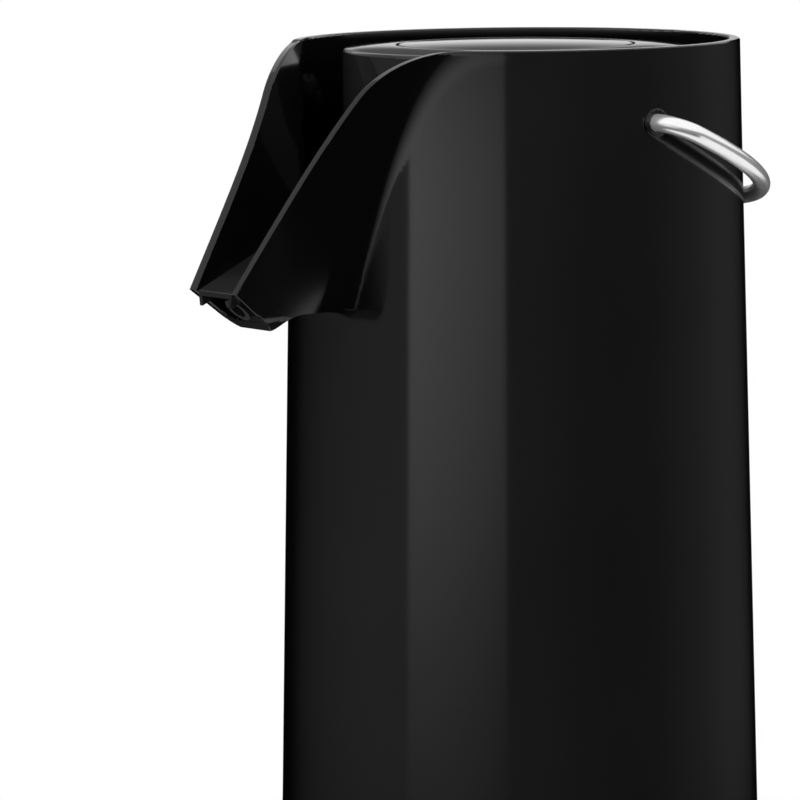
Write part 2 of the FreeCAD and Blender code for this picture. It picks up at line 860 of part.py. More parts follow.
def bail_handle():
    """Round rod bent to a half circle, its ends bent in through the wall, tipped back to its rest."""
    body = doc.addObject("PartDesign::Body", "bail_handle")
    bend = S.bail_bend_radius
    arc = shell_radius(bail_level) + S.bail_rod_radius + S.bail_gap
    bend_start = ((arc - bend) * (arc - bend) - bend * bend).root()
    meet = arc / (arc - bend)
    route = draw(attached_sketch(body, "bail_route", "XY_Plane"), [
        corner(NONE, rod_end),
        corner(NONE, bend_start),
        corner(-(bend * meet), bend_start * meet, bend, 1),
        corner(-(bend * meet), -(bend_start * meet), arc, 1),
        corner(NONE, -bend_start, bend, 1),
        corner(NONE, -rod_end),
    ], closed=False)
    section = attached_sketch(body, "bail_section", "XZ_Plane")
    bind(section, "AttachmentOffset.Base.z", -rod_end)
    circle(section, NONE, NONE, S.bail_rod_radius)
    pipe = body.newObject("PartDesign::AdditivePipe", "bail_rod")
    pipe.Profile = section
    pipe.Spine = (route, [f"Edge{number}" for number in range(1, 6)])
    body.Placement = FreeCAD.Placement(Vector(), FreeCAD.Rotation(Vector(0, -1, 0), 1))
    bind(body, "Placement.Rotation.Angle", S.bail_tilt_degrees)
    return place(body, up=bail_level)


def bail_bush(name, side):
    """Flanged sleeve in the wall, in which one end of the rod turns."""
    sleeve_end = shell_radius(bail_level) + S.bush_proud
    flange_start = bush_flange_face - S.bush_flange
    sleeve = bail_cylinder(f"bush_sleeve_{name}", S.bush_radius, flange_start, sleeve_end, side)
    flange = bail_cylinder(f"bush_flange_{name}", S.bush_flange_radius, flange_start, bush_flange_face, side)
    bore = bail_cylinder(f"bush_bore_{name}", S.bail_rod_radius + S.running_gap,
                         flange_start - S.cut_overrun, sleeve_end + S.cut_overrun, side)
    return cut(f"bail_bush_{name}", fuse(f"bush_solid_{name}", [sleeve, flange]), bore)


def bail_clips():
    """Push-on washers on the rod's inner ends."""
    clips = []
    for name, side in SIDES:
        start = clip_face - S.clip_thickness
        disc = bail_cylinder(f"clip_disc_{name}", S.clip_radius, start, clip_face, side)
        bore = bail_cylinder(f"clip_bore_{name}", S.bail_rod_radius, start - S.cut_overrun,
                             clip_face + S.cut_overrun, side)
        clips.append(cut(f"bail_clip_{name}", disc, bore))
    return group("bail_clips", clips)


# The pump head.

cover_bore = S.pump_radius - S.pump_wall


def upright_tube_boss(name, radius):
    item = cylinder(name, radius, S.plug_depth + S.tube_boss_rise)
    return place(item, S.tube_offset, NONE, plug_foot)


def crosswise(name, radius, start, end, level):
    """A cylinder along X."""
    item = cylinder(name, radius, end - start)
    turn(item, Vector(0, 1, 0), QUARTER_TURN)
    return place(item, start, NONE, level)


def pump_cover():
    """Outer cylinder of the pump head with its annular top, the button's guide and four screw posts."""
    edge_level = pump_top - S.pump_top_fall
    under = edge_level - S.pump_wall
    guide_outside = guide_radius + S.guide_wall
    turned = turned_body("cover_turned", [
        corner(cover_bore, pump_floor_top),
        corner(S.pump_radius, pump_floor_top),
        corner(S.pump_radius, edge_level - S.pump_edge_round),
        corner(S.pump_radius - S.pump_edge_round, edge_level, S.pump_edge_round, 1),
        corner(guide_radius, pump_top),
        corner(guide_radius, guide_foot),
        corner(guide_outside, guide_foot),
        corner(guide_outside, under),
        corner(cover_bore, under),
    ])
    places = polar(pump_post_circle, PUMP_SCREWS, FIRST_PUMP_SCREW)
    posts = holes("cover_posts", places, S.pump_post_radius, pump_floor_top, S.pump_post_height)
    bores = holes("cover_bores", places, S.pump_screw_radius + S.running_gap,
                  pump_floor_top - S.cut_overrun, S.pump_screw_length)
    opening = crosswise("cover_opening", S.pipe_radius + S.seal_wall, S.button_radius,
                        S.pump_radius + S.cut_overrun, pipe_level)
    solid = fuse("cover_solid", [turned, posts])
    return cut("pump_cover", solid, group("cover_tools", [bores, opening]))


def pump_base():
    """Floor of the pump head, with the plug that enters the flask and the ring wall under the bellows."""
    plug_bore = S.plug_radius - S.plug_wall
    plug_floor = plug_foot + S.plug_wall
    plug_flange = S.plug_radius + S.plug_flange
    rim = cover_bore - S.fit_gap
    rim_top = pump_floor_top + S.pump_rim_height
    wall_bore = S.bellows_wall_radius - S.bellows_wall
    turned = turned_body("pump_base_turned", [
        corner(NONE, plug_foot),
        corner(plug_flange, plug_foot),
        corner(plug_flange, plug_floor),
        corner(S.plug_radius, plug_floor),
        corner(S.plug_radius, floor_level),
        corner(S.pump_radius, floor_level),
        corner(S.pump_radius, pump_floor_top),
        corner(rim, pump_floor_top),
        corner(rim, rim_top),
        corner(rim - S.pump_rim_wall, rim_top),
        corner(rim - S.pump_rim_wall, pump_floor_top),
        corner(S.bellows_wall_radius, pump_floor_top),
        corner(S.bellows_wall_radius, bellows_plate_foot),
        corner(wall_bore, bellows_plate_foot),
        corner(wall_bore, pump_floor_top),
        corner(plug_bore, pump_floor_top),
        corner(plug_bore, plug_floor),
        corner(NONE, plug_floor),
    ])
    solid = fuse("pump_base_solid", [turned, upright_tube_boss("tube_boss", S.tube_boss_radius)])
    places = polar(pump_post_circle, PUMP_SCREWS, FIRST_PUMP_SCREW)
    below = plug_foot - S.cut_overrun
    tube_bore = holes("tube_bore", [(S.tube_offset, NONE)], S.tube_radius + S.running_gap,
                      below, S.plug_depth * 2)
    vents = holes("plug_vents", polar(S.plug_vent_circle, PLUG_VENTS, FIRST_VENT), S.plug_vent_radius,
                  below, S.plug_wall + S.cut_overrun * 2)
    notches = holes("post_notches", places, S.pump_post_radius + S.fit_gap, pump_floor_top,
                    S.pump_post_height)
    bores = holes("screw_bores", places, S.pump_screw_radius + S.fit_gap, below, S.plug_depth * 2)
    seats = holes("screw_seats", places, S.pump_screw_head_radius + S.fit_gap, below,
                  floor_level + S.pump_screw_head_height - below)
    way_out = crosswise("pipe_way", S.pipe_radius + S.seal_wall + S.fit_gap, S.plug_radius,
                        S.pump_radius + S.cut_overrun, pipe_level)
    tools = [tube_bore, vents, notches, bores, seats, way_out]
    return cut("pump_base", solid, group("pump_base_tools", tools))


def pump_screws():
    return screw_set("pump_screws", polar(pump_post_circle, PUMP_SCREWS, FIRST_PUMP_SCREW), floor_level,
                     S.pump_screw_head_radius, S.pump_screw_head_height, S.pump_screw_radius,
                     S.pump_screw_length)


def plug_gasket():
    """Lipped rubber ring round the plug."""
    foot = plug_foot + S.plug_wall
    lip_radius = S.liner_mouth_radius - S.fit_gap
    valley = lip_radius - S.plug_gasket_lip
    pitch = S.plug_gasket_height / GASKET_LIPS
    corners = [corner(S.plug_radius, foot)]
    for lip in range(GASKET_LIPS):
        corners.append(corner(valley, foot + pitch * lip))
        corners.append(corner(lip_radius, foot + pitch * lip + pitch / 2))
    corners.append(corner(valley, foot + S.plug_gasket_height))
    corners.append(corner(S.plug_radius, foot + S.plug_gasket_height))
    return turned_body("plug_gasket", corners)


# The air pump.

def valve_ports(name, foot, height):
    return holes(name, polar(S.valve_port_circle, VALVE_PORTS, 0), S.valve_port_radius, foot, height)


def ported_disc(name, radius, foot, thickness, ring_up):
    """Disc with a locating ring on one face, a stem hole in the middle and a circle of ports."""
    top = foot + thickness
    stem = S.valve_stem_radius + S.running_gap
    ring_outside = S.bellows_ring_radius
    ring_inside = ring_outside - S.bellows_ring_wall
    if ring_up:
        ring_end = top + S.bellows_ring_height
        corners = [
            corner(stem, foot),
            corner(radius, foot),
            corner(radius, top),
            corner(ring_outside, top),
            corner(ring_outside, ring_end),
            corner(ring_inside, ring_end),
            corner(ring_inside, top),
            corner(stem, top),
        ]
    else:
        ring_end = foot - S.bellows_ring_height
        corners = [
            corner(stem, foot),
            corner(ring_inside, foot),
            corner(ring_inside, ring_end),
            corner(ring_outside, ring_end),
            corner(ring_outside, foot),
            corner(radius, foot),
            corner(radius, top),
            corner(stem, top),
        ]
    turned = turned_body(f"{name}_turned", corners)
    ports = valve_ports(f"{name}_ports", foot - S.cut_overrun, thickness + S.cut_overrun * 2)
    return cut(name, turned, ports)


def bellows_plate():
    return ported_disc("bellows_plate", S.bellows_wall_radius, bellows_plate_foot, S.bellows_plate, True)


def bellows_cap():
    return ported_disc("bellows_cap", S.bellows_radius, bellows_top, S.bellows_cap, False)


def bellows():
    """Folded rubber tube between the plate and the cap."""
    inner_root = S.bellows_ring_radius + S.fit_gap
    outer_root = inner_root + S.bellows_skin
    first = bellows_foot + S.bellows_ring_height
    last = bellows_top - S.bellows_ring_height
    step = (last - first) / (2 * BELLOWS_FOLDS)
    outer = [corner(outer_root, bellows_foot)]
    inner = [corner(inner_root, bellows_foot)]
    for index in range(2 * BELLOWS_FOLDS + 1):
        fold = S.bellows_fold * (index % 2)
        outer.append(corner(outer_root + fold - S.bellows_skin * (index % 2) / 2, first + step * index))
        inner.append(corner(inner_root + fold - S.bellows_skin * (index % 2) / 2, first + step * index))
    outer.append(corner(outer_root, bellows_top))
    inner.append(corner(inner_root, bellows_top))
    return turned_body("bellows", outer + inner[::-1])


def helix_point(share, turns, radius, foot, rise):
    angle = 2 * math.pi * turns * share
    return Vector(radius * math.cos(angle), radius * math.sin(angle), foot + rise * share)


def return_spring():
    """Round wire wound in even turns, as one unbroken tube along arcs of a quarter turn."""
    radius = S.spring_radius.value
    wire = S.spring_wire_radius.value
    foot = (bellows_foot + S.spring_wire_radius + S.fit_gap).value
    rise = (bellows_top - bellows_foot - (S.spring_wire_radius + S.fit_gap) * 2).value
    count = SPRING_TURNS * ARCS_PER_TURN
    arcs = []
    for index in range(count):
        points = [helix_point((index + part / 2) / count, SPRING_TURNS, radius, foot, rise)
                  for part in range(3)]
        arcs.append(Part.Arc(*points).toShape())
    spine = Part.Wire(arcs)
    start = spine.Edges[0]
    heading = start.tangentAt(start.FirstParameter)
    profile = Part.Wire([Part.makeCircle(wire, helix_point(0, SPRING_TURNS, radius, foot, rise), heading)])
    spring = doc.addObject("Part::Feature", "return_spring")
    spring.Shape = spine.makePipeShell([profile], True, False)
    return spring


def umbrella_valve(name, plate_foot, plate_top):
    """Rubber disc under a plate, held by a stem with a bulb on the other side."""
    edge = plate_foot - S.valve_edge
    hub = plate_foot - S.valve_disc
    bulb_top = plate_top + S.valve_bulb_height
    return turned_body(name, [
        corner(NONE, hub),
        corner(S.valve_bulb_radius, hub),
        corner(S.valve_radius, edge),
        corner(S.valve_radius, plate_foot),
        corner(S.valve_stem_radius, plate_foot),
        corner(S.valve_stem_radius, plate_top),
        corner(S.valve_bulb_radius, plate_top),
        corner(S.valve_stem_radius, bulb_top),
        corner(NONE, bulb_top),
    ])


def air_valve():
    return umbrella_valve("air_valve", bellows_plate_foot, bellows_foot)


def intake_valve():
    return umbrella_valve("intake_valve", bellows_top, cap_top)


def push_button():
    """Slightly domed round button with a guide skirt, a stop flange and the boss that bears on the bellows."""
    under = pump_top - S.button_skin
    flange_top = guide_foot - S.fit_gap
    flange_foot = flange_top - S.button_flange
    skirt_bore = S.button_radius - S.button_skirt
    boss_bore = S.button_boss_radius - S.button_boss_wall
    crown = S.button_radius - S.edge_round
    dome = (crown * crown + S.button_rise * S.button_rise) / (S.button_rise * 2)
    return turned_body("push_button", [
        corner(NONE, under),
        corner(boss_bore, under),
        corner(boss_bore, cap_top),
        corner(S.button_boss_radius, cap_top),
        corner(S.button_boss_radius, under),
        corner(skirt_bore, under),
        corner(skirt_bore, flange_foot),
        corner(S.button_radius + S.button_flange_reach, flange_foot),
        corner(S.button_radius + S.button_flange_reach, flange_top),
        corner(S.button_radius, flange_top),
        corner(S.button_radius, pump_top - S.edge_round),
        corner(crown, pump_top, S.edge_round, 1),
        corner(NONE, pump_top + S.button_rise, dome, 1),
    ])


# The way of the liquid.

def upright_tube(name, across, outside, bore, foot, top):
    outer = place(cylinder(f"{name}_outside", outside, top - foot), across, NONE, foot)
    inner = place(cylinder(f"{name}_bore", bore, top - foot + S.cut_overrun * 2), across, NONE,
                  foot - S.cut_overrun)
    return cut(name, outer, inner)


def dip_tube():
    return upright_tube("dip_tube", S.tube_offset, S.tube_radius, S.tube_bore, S.tube_foot, tube_top)


def tip_ball():
    """Loose ball above the dip tube's end."""
    ball = doc.addObject("Part::Sphere", "tip_ball")
    bind(ball, "Radius", S.ball_radius)
    seat = (S.ball_radius * S.ball_radius - S.tube_bore * S.tube_bore).root()
    return place(ball, S.tube_offset, NONE, tube_top + seat + S.ball_lift)


slant_length = (S.pipe_nose_run * S.pipe_nose_run + S.pipe_nose_drop * S.pipe_nose_drop).root()
nose_run = S.pipe_nose_run / slant_length
nose_drop = S.pipe_nose_drop / slant_length
nose_reach = chin_reach - S.pipe_nose_setback
nose_start = (nose_reach + S.pipe_nose_radius * nose_drop,
              pipe_level - S.pipe_nose_radius + S.pipe_nose_radius * nose_run)


def along_nose(distance):
    """A point on the outlet's slanted end, past the last bend."""
    return nose_start[0] + nose_run * distance, nose_start[1] - nose_drop * distance


def pipe_body(name, radius, overrun):
    """Round rod along the outlet's route: up, over the beak's floor, and down at the end."""
    body = doc.addObject("PartDesign::Body", name)
    bend = S.pipe_bend_radius
    end = along_nose(S.pipe_end_run + overrun)
    route = draw(attached_sketch(body, f"{name}_route", "XZ_Plane"), [
        corner(S.tube_offset, pipe_foot - overrun),
        corner(S.tube_offset, pipe_level - bend),
        corner(S.tube_offset + bend, pipe_level, bend, -1),
        corner(nose_reach, pipe_level),
        corner(nose_start[0], nose_start[1], S.pipe_nose_radius, -1),
        corner(end[0], end[1]),
    ], closed=False)
    section = attached_sketch(body, f"{name}_section", "XY_Plane")
    bind(section, "AttachmentOffset.Base.z", pipe_foot - overrun)
    circle(section, S.tube_offset, NONE, radius)
    pipe = body.newObject("PartDesign::AdditivePipe", f"{name}_rod")
    pipe.Profile = section
    pipe.Spine = (route, [f"Edge{number}" for number in range(1, 6)])
    return body


def outlet_pipe():
    collar = place(cylinder("pipe_collar", S.tube_radius, S.pipe_collar), S.tube_offset, NONE, pipe_foot)
    solid = fuse("pipe_solid", [pipe_body("pipe_outside", S.pipe_radius, NONE), collar])
    return cut("outlet_pipe", solid, pipe_body("pipe_inside", S.pipe_bore, S.cut_overrun))


def slanted(name, radius, start, end):
    """A cylinder along the outlet's slanted end, between two distances past the last bend."""
    item = cylinder(name, radius, end - start)
    degrees = QUARTER_TURN + math.degrees(math.atan2(S.pipe_nose_drop.value, S.pipe_nose_run.value))
    turn(item, Vector(0, 1, 0), degrees)
    foot = along_nose(start)
    return place(item, foot[0], NONE, foot[1])


def nozzle():
    """Sleeve on the outlet's end, from which the drink falls."""
    end = S.pipe_end_run + S.nozzle_proud
    start = end - S.nozzle_length
    sleeve = slanted("nozzle_sleeve", S.pipe_radius + S.nozzle_wall, start, end)
    bore = slanted("nozzle_bore", S.pipe_radius + S.running_gap, start - S.cut_overrun, S.pipe_end_run)
    mouth = slanted("nozzle_mouth", S.pipe_bore, S.pipe_end_run - S.cut_overrun, end + S.cut_overrun)
    return cut("nozzle", sleeve, group("nozzle_tools", [bore, mouth]))


def pipe_seal():
    """Rubber ring round the outlet, in the wall of the pump head."""
    middle = S.pump_radius - S.pump_wall / 2
    start = middle - S.seal_length / 2
    end = middle + S.seal_length / 2
    outside = crosswise("seal_outside", S.pipe_radius + S.seal_wall, start, end, pipe_level)
    bore = crosswise("seal_bore", S.pipe_radius, start - S.cut_overrun, end + S.cut_overrun, pipe_level)
    return cut("pipe_seal", outside, bore)


def cover_band(name, top_share, thickness):
    """Slanted band across the beak under the line of the spout cover's top, from the tip to the pump head."""
    front = beak_reach - S.spout_cover_inset
    back = S.pump_radius - S.ledge_width * 2
    rise = S.spout_cover_slope * (front - back)
    front_top = beak_tip - top_share
    return side_prism(name, [
        corner(back, front_top + rise - thickness),
        corner(front, front_top - thickness),
        corner(front, front_top),
        corner(back, front_top + rise),
    ], S.pump_radius)


def spout_cover():
    """Sloping channel cover over the outlet, fitting between the beak's walls, fixed to the pump head."""
    inset = S.shell_wall + S.spout_cover_gap
    floor_inset = S.beak_floor_wall + S.spout_cover_gap
    form = beak_loft("spout_cover_form", inset, chin_level + floor_inset, rim_level, NONE)
    room = beak_loft("spout_cover_room", inset + S.spout_cover_wall, chin_level + floor_inset, rim_level,
                     S.cut_overrun)
    whole = common("spout_cover_whole", [
        form, cover_band("spout_cover_band", NONE, S.spout_cover_plate + S.spout_cover_skirt)])
    hollow = common("spout_cover_hollow", [
        room, cover_band("spout_room_band", S.spout_cover_plate, S.spout_cover_plate + S.spout_cover_skirt)])
    inside = place(cylinder("spout_cover_trim", S.pump_radius, S.jug_height), NONE, NONE, NONE)
    return cut("spout_cover", whole, group("spout_cover_tools", [hollow, inside]))


PIECES = {
    "outer_shell": outer_shell,
    "base_cap": base_cap,
    "base_screws": base_screws,
    "foot_pad": foot_pad,
    "liner_cushion": liner_cushion,
    "liner_outer_glass": liner_outer_glass,
    "liner_inner_glass": liner_inner_glass,
    "liner_gasket": liner_gasket,
    "shoulder_ring": shoulder_ring,
    "bail_handle": bail_handle,
    "bail_bush_left": lambda: bail_bush(*SIDES[0]),
    "bail_bush_right": lambda: bail_bush(*SIDES[1]),
    "bail_clips": bail_clips,
    "pump_cover": pump_cover,
    "pump_base": pump_base,
    "pump_screws": pump_screws,
    "plug_gasket": plug_gasket,
    "bellows_plate": bellows_plate,
    "bellows_cap": bellows_cap,
    "bellows": bellows,
    "return_spring": return_spring,
    "air_valve": air_valve,
    "intake_valve": intake_valve,
    "push_button": push_button,
    "dip_tube": dip_tube,
    "tip_ball": tip_ball,
    "outlet_pipe": outlet_pipe,
    "nozzle": nozzle,
    "pipe_seal": pipe_seal,
    "spout_cover": spout_cover,
}

for piece_name, make in PIECES.items():
    sub_part(make(), piece_name)
doc.recompute()

faults = []
for item in doc.Objects:
    if "Invalid" in item.State or "Error" in item.State:
        faults.append(f"{item.Name} is in a bad state: {item.State}")
for item in sub_parts:
    if item.Shape.isNull() or not item.Shape.isValid() or item.Shape.Volume <= 0:
        faults.append(f"{item.Label} has no sound shape")
if faults:
    raise RuntimeError("; ".join(faults))

os.makedirs("parts", exist_ok=True)
for item in sub_parts:
    item.Shape.exportStep(f"parts/{item.Label}.step")
    bounds = item.Shape.optimalBoundingBox()
    print(f"{item.Label}: {len(item.Shape.Solids)} solid(s), {item.Shape.Volume:.1f} cubic mm, "
          f"x {bounds.XMin:.1f} to {bounds.XMax:.1f}, y {bounds.YMin:.1f} to {bounds.YMax:.1f}, "
          f"z {bounds.ZMin:.1f} to {bounds.ZMax:.1f}")
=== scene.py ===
"""Looks of a pump thermal jug: a gloss black shell with an open beak, a steel bail and a lift-out pump head.

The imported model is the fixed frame. Every piece made here rides on one of its bodies, in metres, +Z up,
with the beak towards +X.
"""

import json
import math

import bmesh
import bpy
import numpy as np
from bpy.props import FloatProperty, FloatVectorProperty, IntProperty, PointerProperty
from mathutils import Matrix, Vector

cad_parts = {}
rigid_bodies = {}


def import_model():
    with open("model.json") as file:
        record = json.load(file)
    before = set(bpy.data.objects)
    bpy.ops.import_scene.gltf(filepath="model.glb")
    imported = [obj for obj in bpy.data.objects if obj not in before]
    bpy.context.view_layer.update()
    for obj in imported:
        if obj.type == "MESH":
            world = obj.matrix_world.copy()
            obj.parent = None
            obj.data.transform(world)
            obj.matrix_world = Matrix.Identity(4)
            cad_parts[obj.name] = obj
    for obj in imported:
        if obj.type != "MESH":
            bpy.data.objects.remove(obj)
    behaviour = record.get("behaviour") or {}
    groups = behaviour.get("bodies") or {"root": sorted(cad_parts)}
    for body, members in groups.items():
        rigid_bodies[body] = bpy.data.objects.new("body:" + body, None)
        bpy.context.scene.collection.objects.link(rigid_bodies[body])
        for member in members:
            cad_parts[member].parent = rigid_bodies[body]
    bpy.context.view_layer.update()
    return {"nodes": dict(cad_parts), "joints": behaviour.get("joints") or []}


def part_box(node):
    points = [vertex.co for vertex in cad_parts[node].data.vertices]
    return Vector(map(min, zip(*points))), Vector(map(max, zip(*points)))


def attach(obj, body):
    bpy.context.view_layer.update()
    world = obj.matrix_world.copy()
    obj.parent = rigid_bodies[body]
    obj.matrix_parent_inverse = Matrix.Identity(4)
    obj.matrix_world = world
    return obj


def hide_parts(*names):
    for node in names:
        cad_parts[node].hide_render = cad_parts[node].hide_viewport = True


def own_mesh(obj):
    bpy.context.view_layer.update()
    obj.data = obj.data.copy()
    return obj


bl_info = {
    "name": "Pump thermal jug",
    "version": (1, 0, 0),
    "blender": (4, 5, 0),
    "location": "View3D > Sidebar > Jug",
    "description": "Builds the looks of a pump thermal jug on its packed model",
    "category": "Object",
}

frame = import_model()
NODES = frame["nodes"]
MM = 0.001
FULL_TURN = 2 * math.pi
UP = Vector((0, 0, 1))


def node_top(name):
    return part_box(name)[1].z


def node_foot(name):
    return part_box(name)[0].z


def node_reach(name):
    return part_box(name)[1].x


# Sizes and colours that a user would change.

def length(label, text, default):
    return FloatProperty(name=label, description=text, default=default, min=0.0, unit="LENGTH", precision=5)


def angle(label, text, default):
    return FloatProperty(name=label, description=text, default=default, subtype="ANGLE")


def count(label, text, default, least=1):
    return IntProperty(name=label, description=text, default=default, min=least)


def colour(label, text, default):
    return FloatVectorProperty(name=label, description=text, default=default, min=0.0, max=1.0, size=3,
                               subtype="COLOR")


class ShellSizes(bpy.types.PropertyGroup):
    """Sizes of the tapered shell, its beak and the closed bottom."""
    height: length("Height", "Rim above the table", node_top("outer_shell"))
    rim_radius: length("Rim radius", "Outer radius at the rim", 80 * MM)
    base_radius: length("Base radius", "Outer radius where the taper meets the table", 88 * MM)
    wall: length("Wall", "Thickness of the shell", 4 * MM)
    beak_tip_height: length("Beak tip height", "Tip of the beak above the table", 287.5 * MM)
    beak_tip_half_width: length("Beak tip half width", "Half the beak's width at its tip", 14.9 * MM)
    beak_flare_reach: length("Flare reach", "Where the beak's walls start to flare", 116 * MM)
    beak_flare_radius: length("Flare radius", "Radius of the flare at the rim", 68 * MM)
    beak_lean: FloatProperty(name="Beak lean", description="Outward lean of the beak's walls", default=0.16)
    root_sweep: length("Root sweep", "How far the beak's walls sweep into the body", 3 * MM)
    seam_height: length("Seam height", "Seam between the shell and the bottom cap", 12 * MM)
    seam_ease: length("Seam ease", "Rounding of the cap's edge at the seam", 0.5 * MM)
    foot_radius: length("Foot radius", "Radius of the rubber foot", node_reach("foot_pad"))
    foot_ribs: count("Foot ribs", "Rings moulded under the rubber foot", 7, 0)
    screws: count("Base screws", "Screws in the bottom cap", 3)


class BailSizes(bpy.types.PropertyGroup):
    """Sizes of the bent steel rod."""
    rod_radius: length("Rod radius", "Radius of the steel rod", 3.1 * MM)
    arc_radius: length("Arc radius", "Radius of the bail's half circle, at the rod's middle", 91.5 * MM)
    bend_radius: length("Bend radius", "Radius of the two bends into the wall", 9 * MM)
    inner_end: length("Inner end", "Distance of the rod's ends from the jug's axis", 69.96 * MM)
    pivot_height: length("Pivot height", "The bail's axis above the table", 344 * MM)
    tilt: angle("Tilt", "How far the bail hangs below level", math.radians(22))


class PumpSizes(bpy.types.PropertyGroup):
    """Sizes of the pump head's cover, button, bellows and spring."""
    cover_radius: length("Cover radius", "Outer radius of the pump head", node_reach("pump_cover"))
    cover_wall: length("Cover wall", "Thickness of the cover", 2.4 * MM)
    cover_fall: length("Cover fall", "Drop of the cover's top from the button to its edge", 1.2 * MM)
    cover_ease: length("Cover ease", "Rounding of the cover's outer edge", 1.5 * MM)
    button_radius: length("Button radius", "Radius of the push button", 42 * MM)
    button_gap: length("Button gap", "Gap round the push button", 0.6 * MM)
    button_rise: length("Button rise", "Height of the button's dome", 0.7 * MM)
    button_ease: length("Button ease", "Rounding of the button's edge", 0.8 * MM)
    bellows_folds: count("Bellows folds", "Folds of the rubber bellows", 5)
    spring_turns: count("Spring turns", "Turns of the return spring", 6)
    spring_radius: length("Spring radius", "Radius of the spring, at the wire's middle", 22 * MM)
    wire_radius: length("Wire radius", "Radius of the spring's wire", 0.8 * MM)
    screws: count("Pump screws", "Screws under the pump head", 4)


class JugColours(bpy.types.PropertyGroup):
    """Colours of the materials."""
    shell: colour("Shell", "Gloss black of the shell", (0.0024, 0.0024, 0.0026))
    pump: colour("Pump head", "Gloss black of the cover and button", (0.012, 0.012, 0.0123))
    base: colour("Base", "Satin black of the bottom cap", (0.008, 0.008, 0.0085))
    collar: colour("Collar", "Grey of the mouldings inside", (0.35, 0.35, 0.36))
    pipe: colour("Pipe", "Natural plastic of the pipes", (0.72, 0.72, 0.70))
    rubber: colour("Rubber", "Black rubber of the foot", (0.018, 0.018, 0.019))
    cushion: colour("Cushion", "Foam rubber under the flask", (0.08, 0.08, 0.085))
    bellows: colour("Bellows", "Dark rubber of the bellows", (0.06, 0.06, 0.065))
    silicone: colour("Silicone", "Pale silicone of the seals", (0.62, 0.62, 0.60))
    steel: colour("Steel", "Polished steel of the bail", (0.96, 0.965, 0.975))
    zinc: colour("Zinc", "Plated steel of the screws and the spring", (0.55, 0.55, 0.56))
    silver: colour("Silver", "Silvering of the flask", (0.82, 0.82, 0.83))
    glass: colour("Glass", "Tint of the flask's inner wall", (0.86, 0.89, 0.90))
    floor: colour("Floor", "Pale floor", (0.86, 0.86, 0.86))


class StudioSizes(bpy.types.PropertyGroup):
    """The camera's place and the studio round the jug."""
    camera_distance: length("Camera distance", "Camera to the jug's axis, on the level", 2.0)
    camera_height: length("Camera height", "Camera above the table", 0.477)
    camera_turn: angle("Camera turn", "Turn of the camera from the jug's side to the beak", math.radians(37))
    camera_yaw: angle("Camera yaw", "Aim to the left of the jug's axis", 0.0211)
    camera_pitch: angle("Camera pitch", "Aim below the level", 0.1177)
    camera_roll: angle("Camera roll", "Roll of the picture", -0.0083)
    focal_pixels: FloatProperty(name="Focal length in pixels", description="For a picture 800 pixels wide",
                                default=5604.8)
    floor_radius: length("Floor radius", "Radius of the floor round the jug", 0.45)
    wall_radius: length("Wall radius", "Distance of the dim studio wall", 3.0)
    softbox_distance: length("Softbox distance", "Distance of the soft box from the jug", 2.6)
    card_distance: length("Card distance", "Distance of the white card behind the jug", 2.0)


# Node trees: one method adds any node, and arithmetic on a value adds Math nodes.

class Value:
    """A number inside a material; arithmetic on it adds the Math nodes that work it out."""

    def __init__(self, nodes, socket):
        self.nodes = nodes
        self.socket = socket

    def math(self, operation, first, second):
        made = self.nodes.node("ShaderNodeMath", {0: first, 1: second}, operation=operation)
        return Value(self.nodes, made.outputs[0])

    def __add__(self, other):
        return self.math("ADD", self, other)

    __radd__ = __add__

    def __sub__(self, other):
        return self.math("SUBTRACT", self, other)

    def __rsub__(self, other):
        return self.math("SUBTRACT", other, self)

    def __mul__(self, other):
        return self.math("MULTIPLY", self, other)

    __rmul__ = __mul__

    def __truediv__(self, other):
        return self.math("DIVIDE", self, other)

    def __pow__(self, other):
        return self.math("POWER", self, other)

    def larger(self, other):
        return self.math("MAXIMUM", self, other)

    def between(self, low, high):
        """Smooth step from 0 at low to 1 at high."""
        made = self.nodes.node("ShaderNodeMapRange", {"Value": self, "From Min": low, "From Max": high},
                               interpolation_type="SMOOTHSTEP")
        return Value(self.nodes, made.outputs["Result"])


class Nodes:
    """A node tree under construction."""

    def __init__(self, tree):
        self.tree = tree

    def node(self, kind, feeds=None, **settings):
        """Adds a node: its settings first, then the values or links of its sockets."""
        made = self.tree.nodes.new(kind)
        for key, setting in settings.items():
            setattr(made, key, setting)
        for key, feed in (feeds or {}).items():
            self.feed(made.inputs[key], feed)
        return made

    def feed(self, socket, feed):
        feed = getattr(feed, "socket", feed)
        if isinstance(feed, bpy.types.NodeSocket):
            self.tree.links.new(feed, socket)
        else:
            socket.default_value = feed


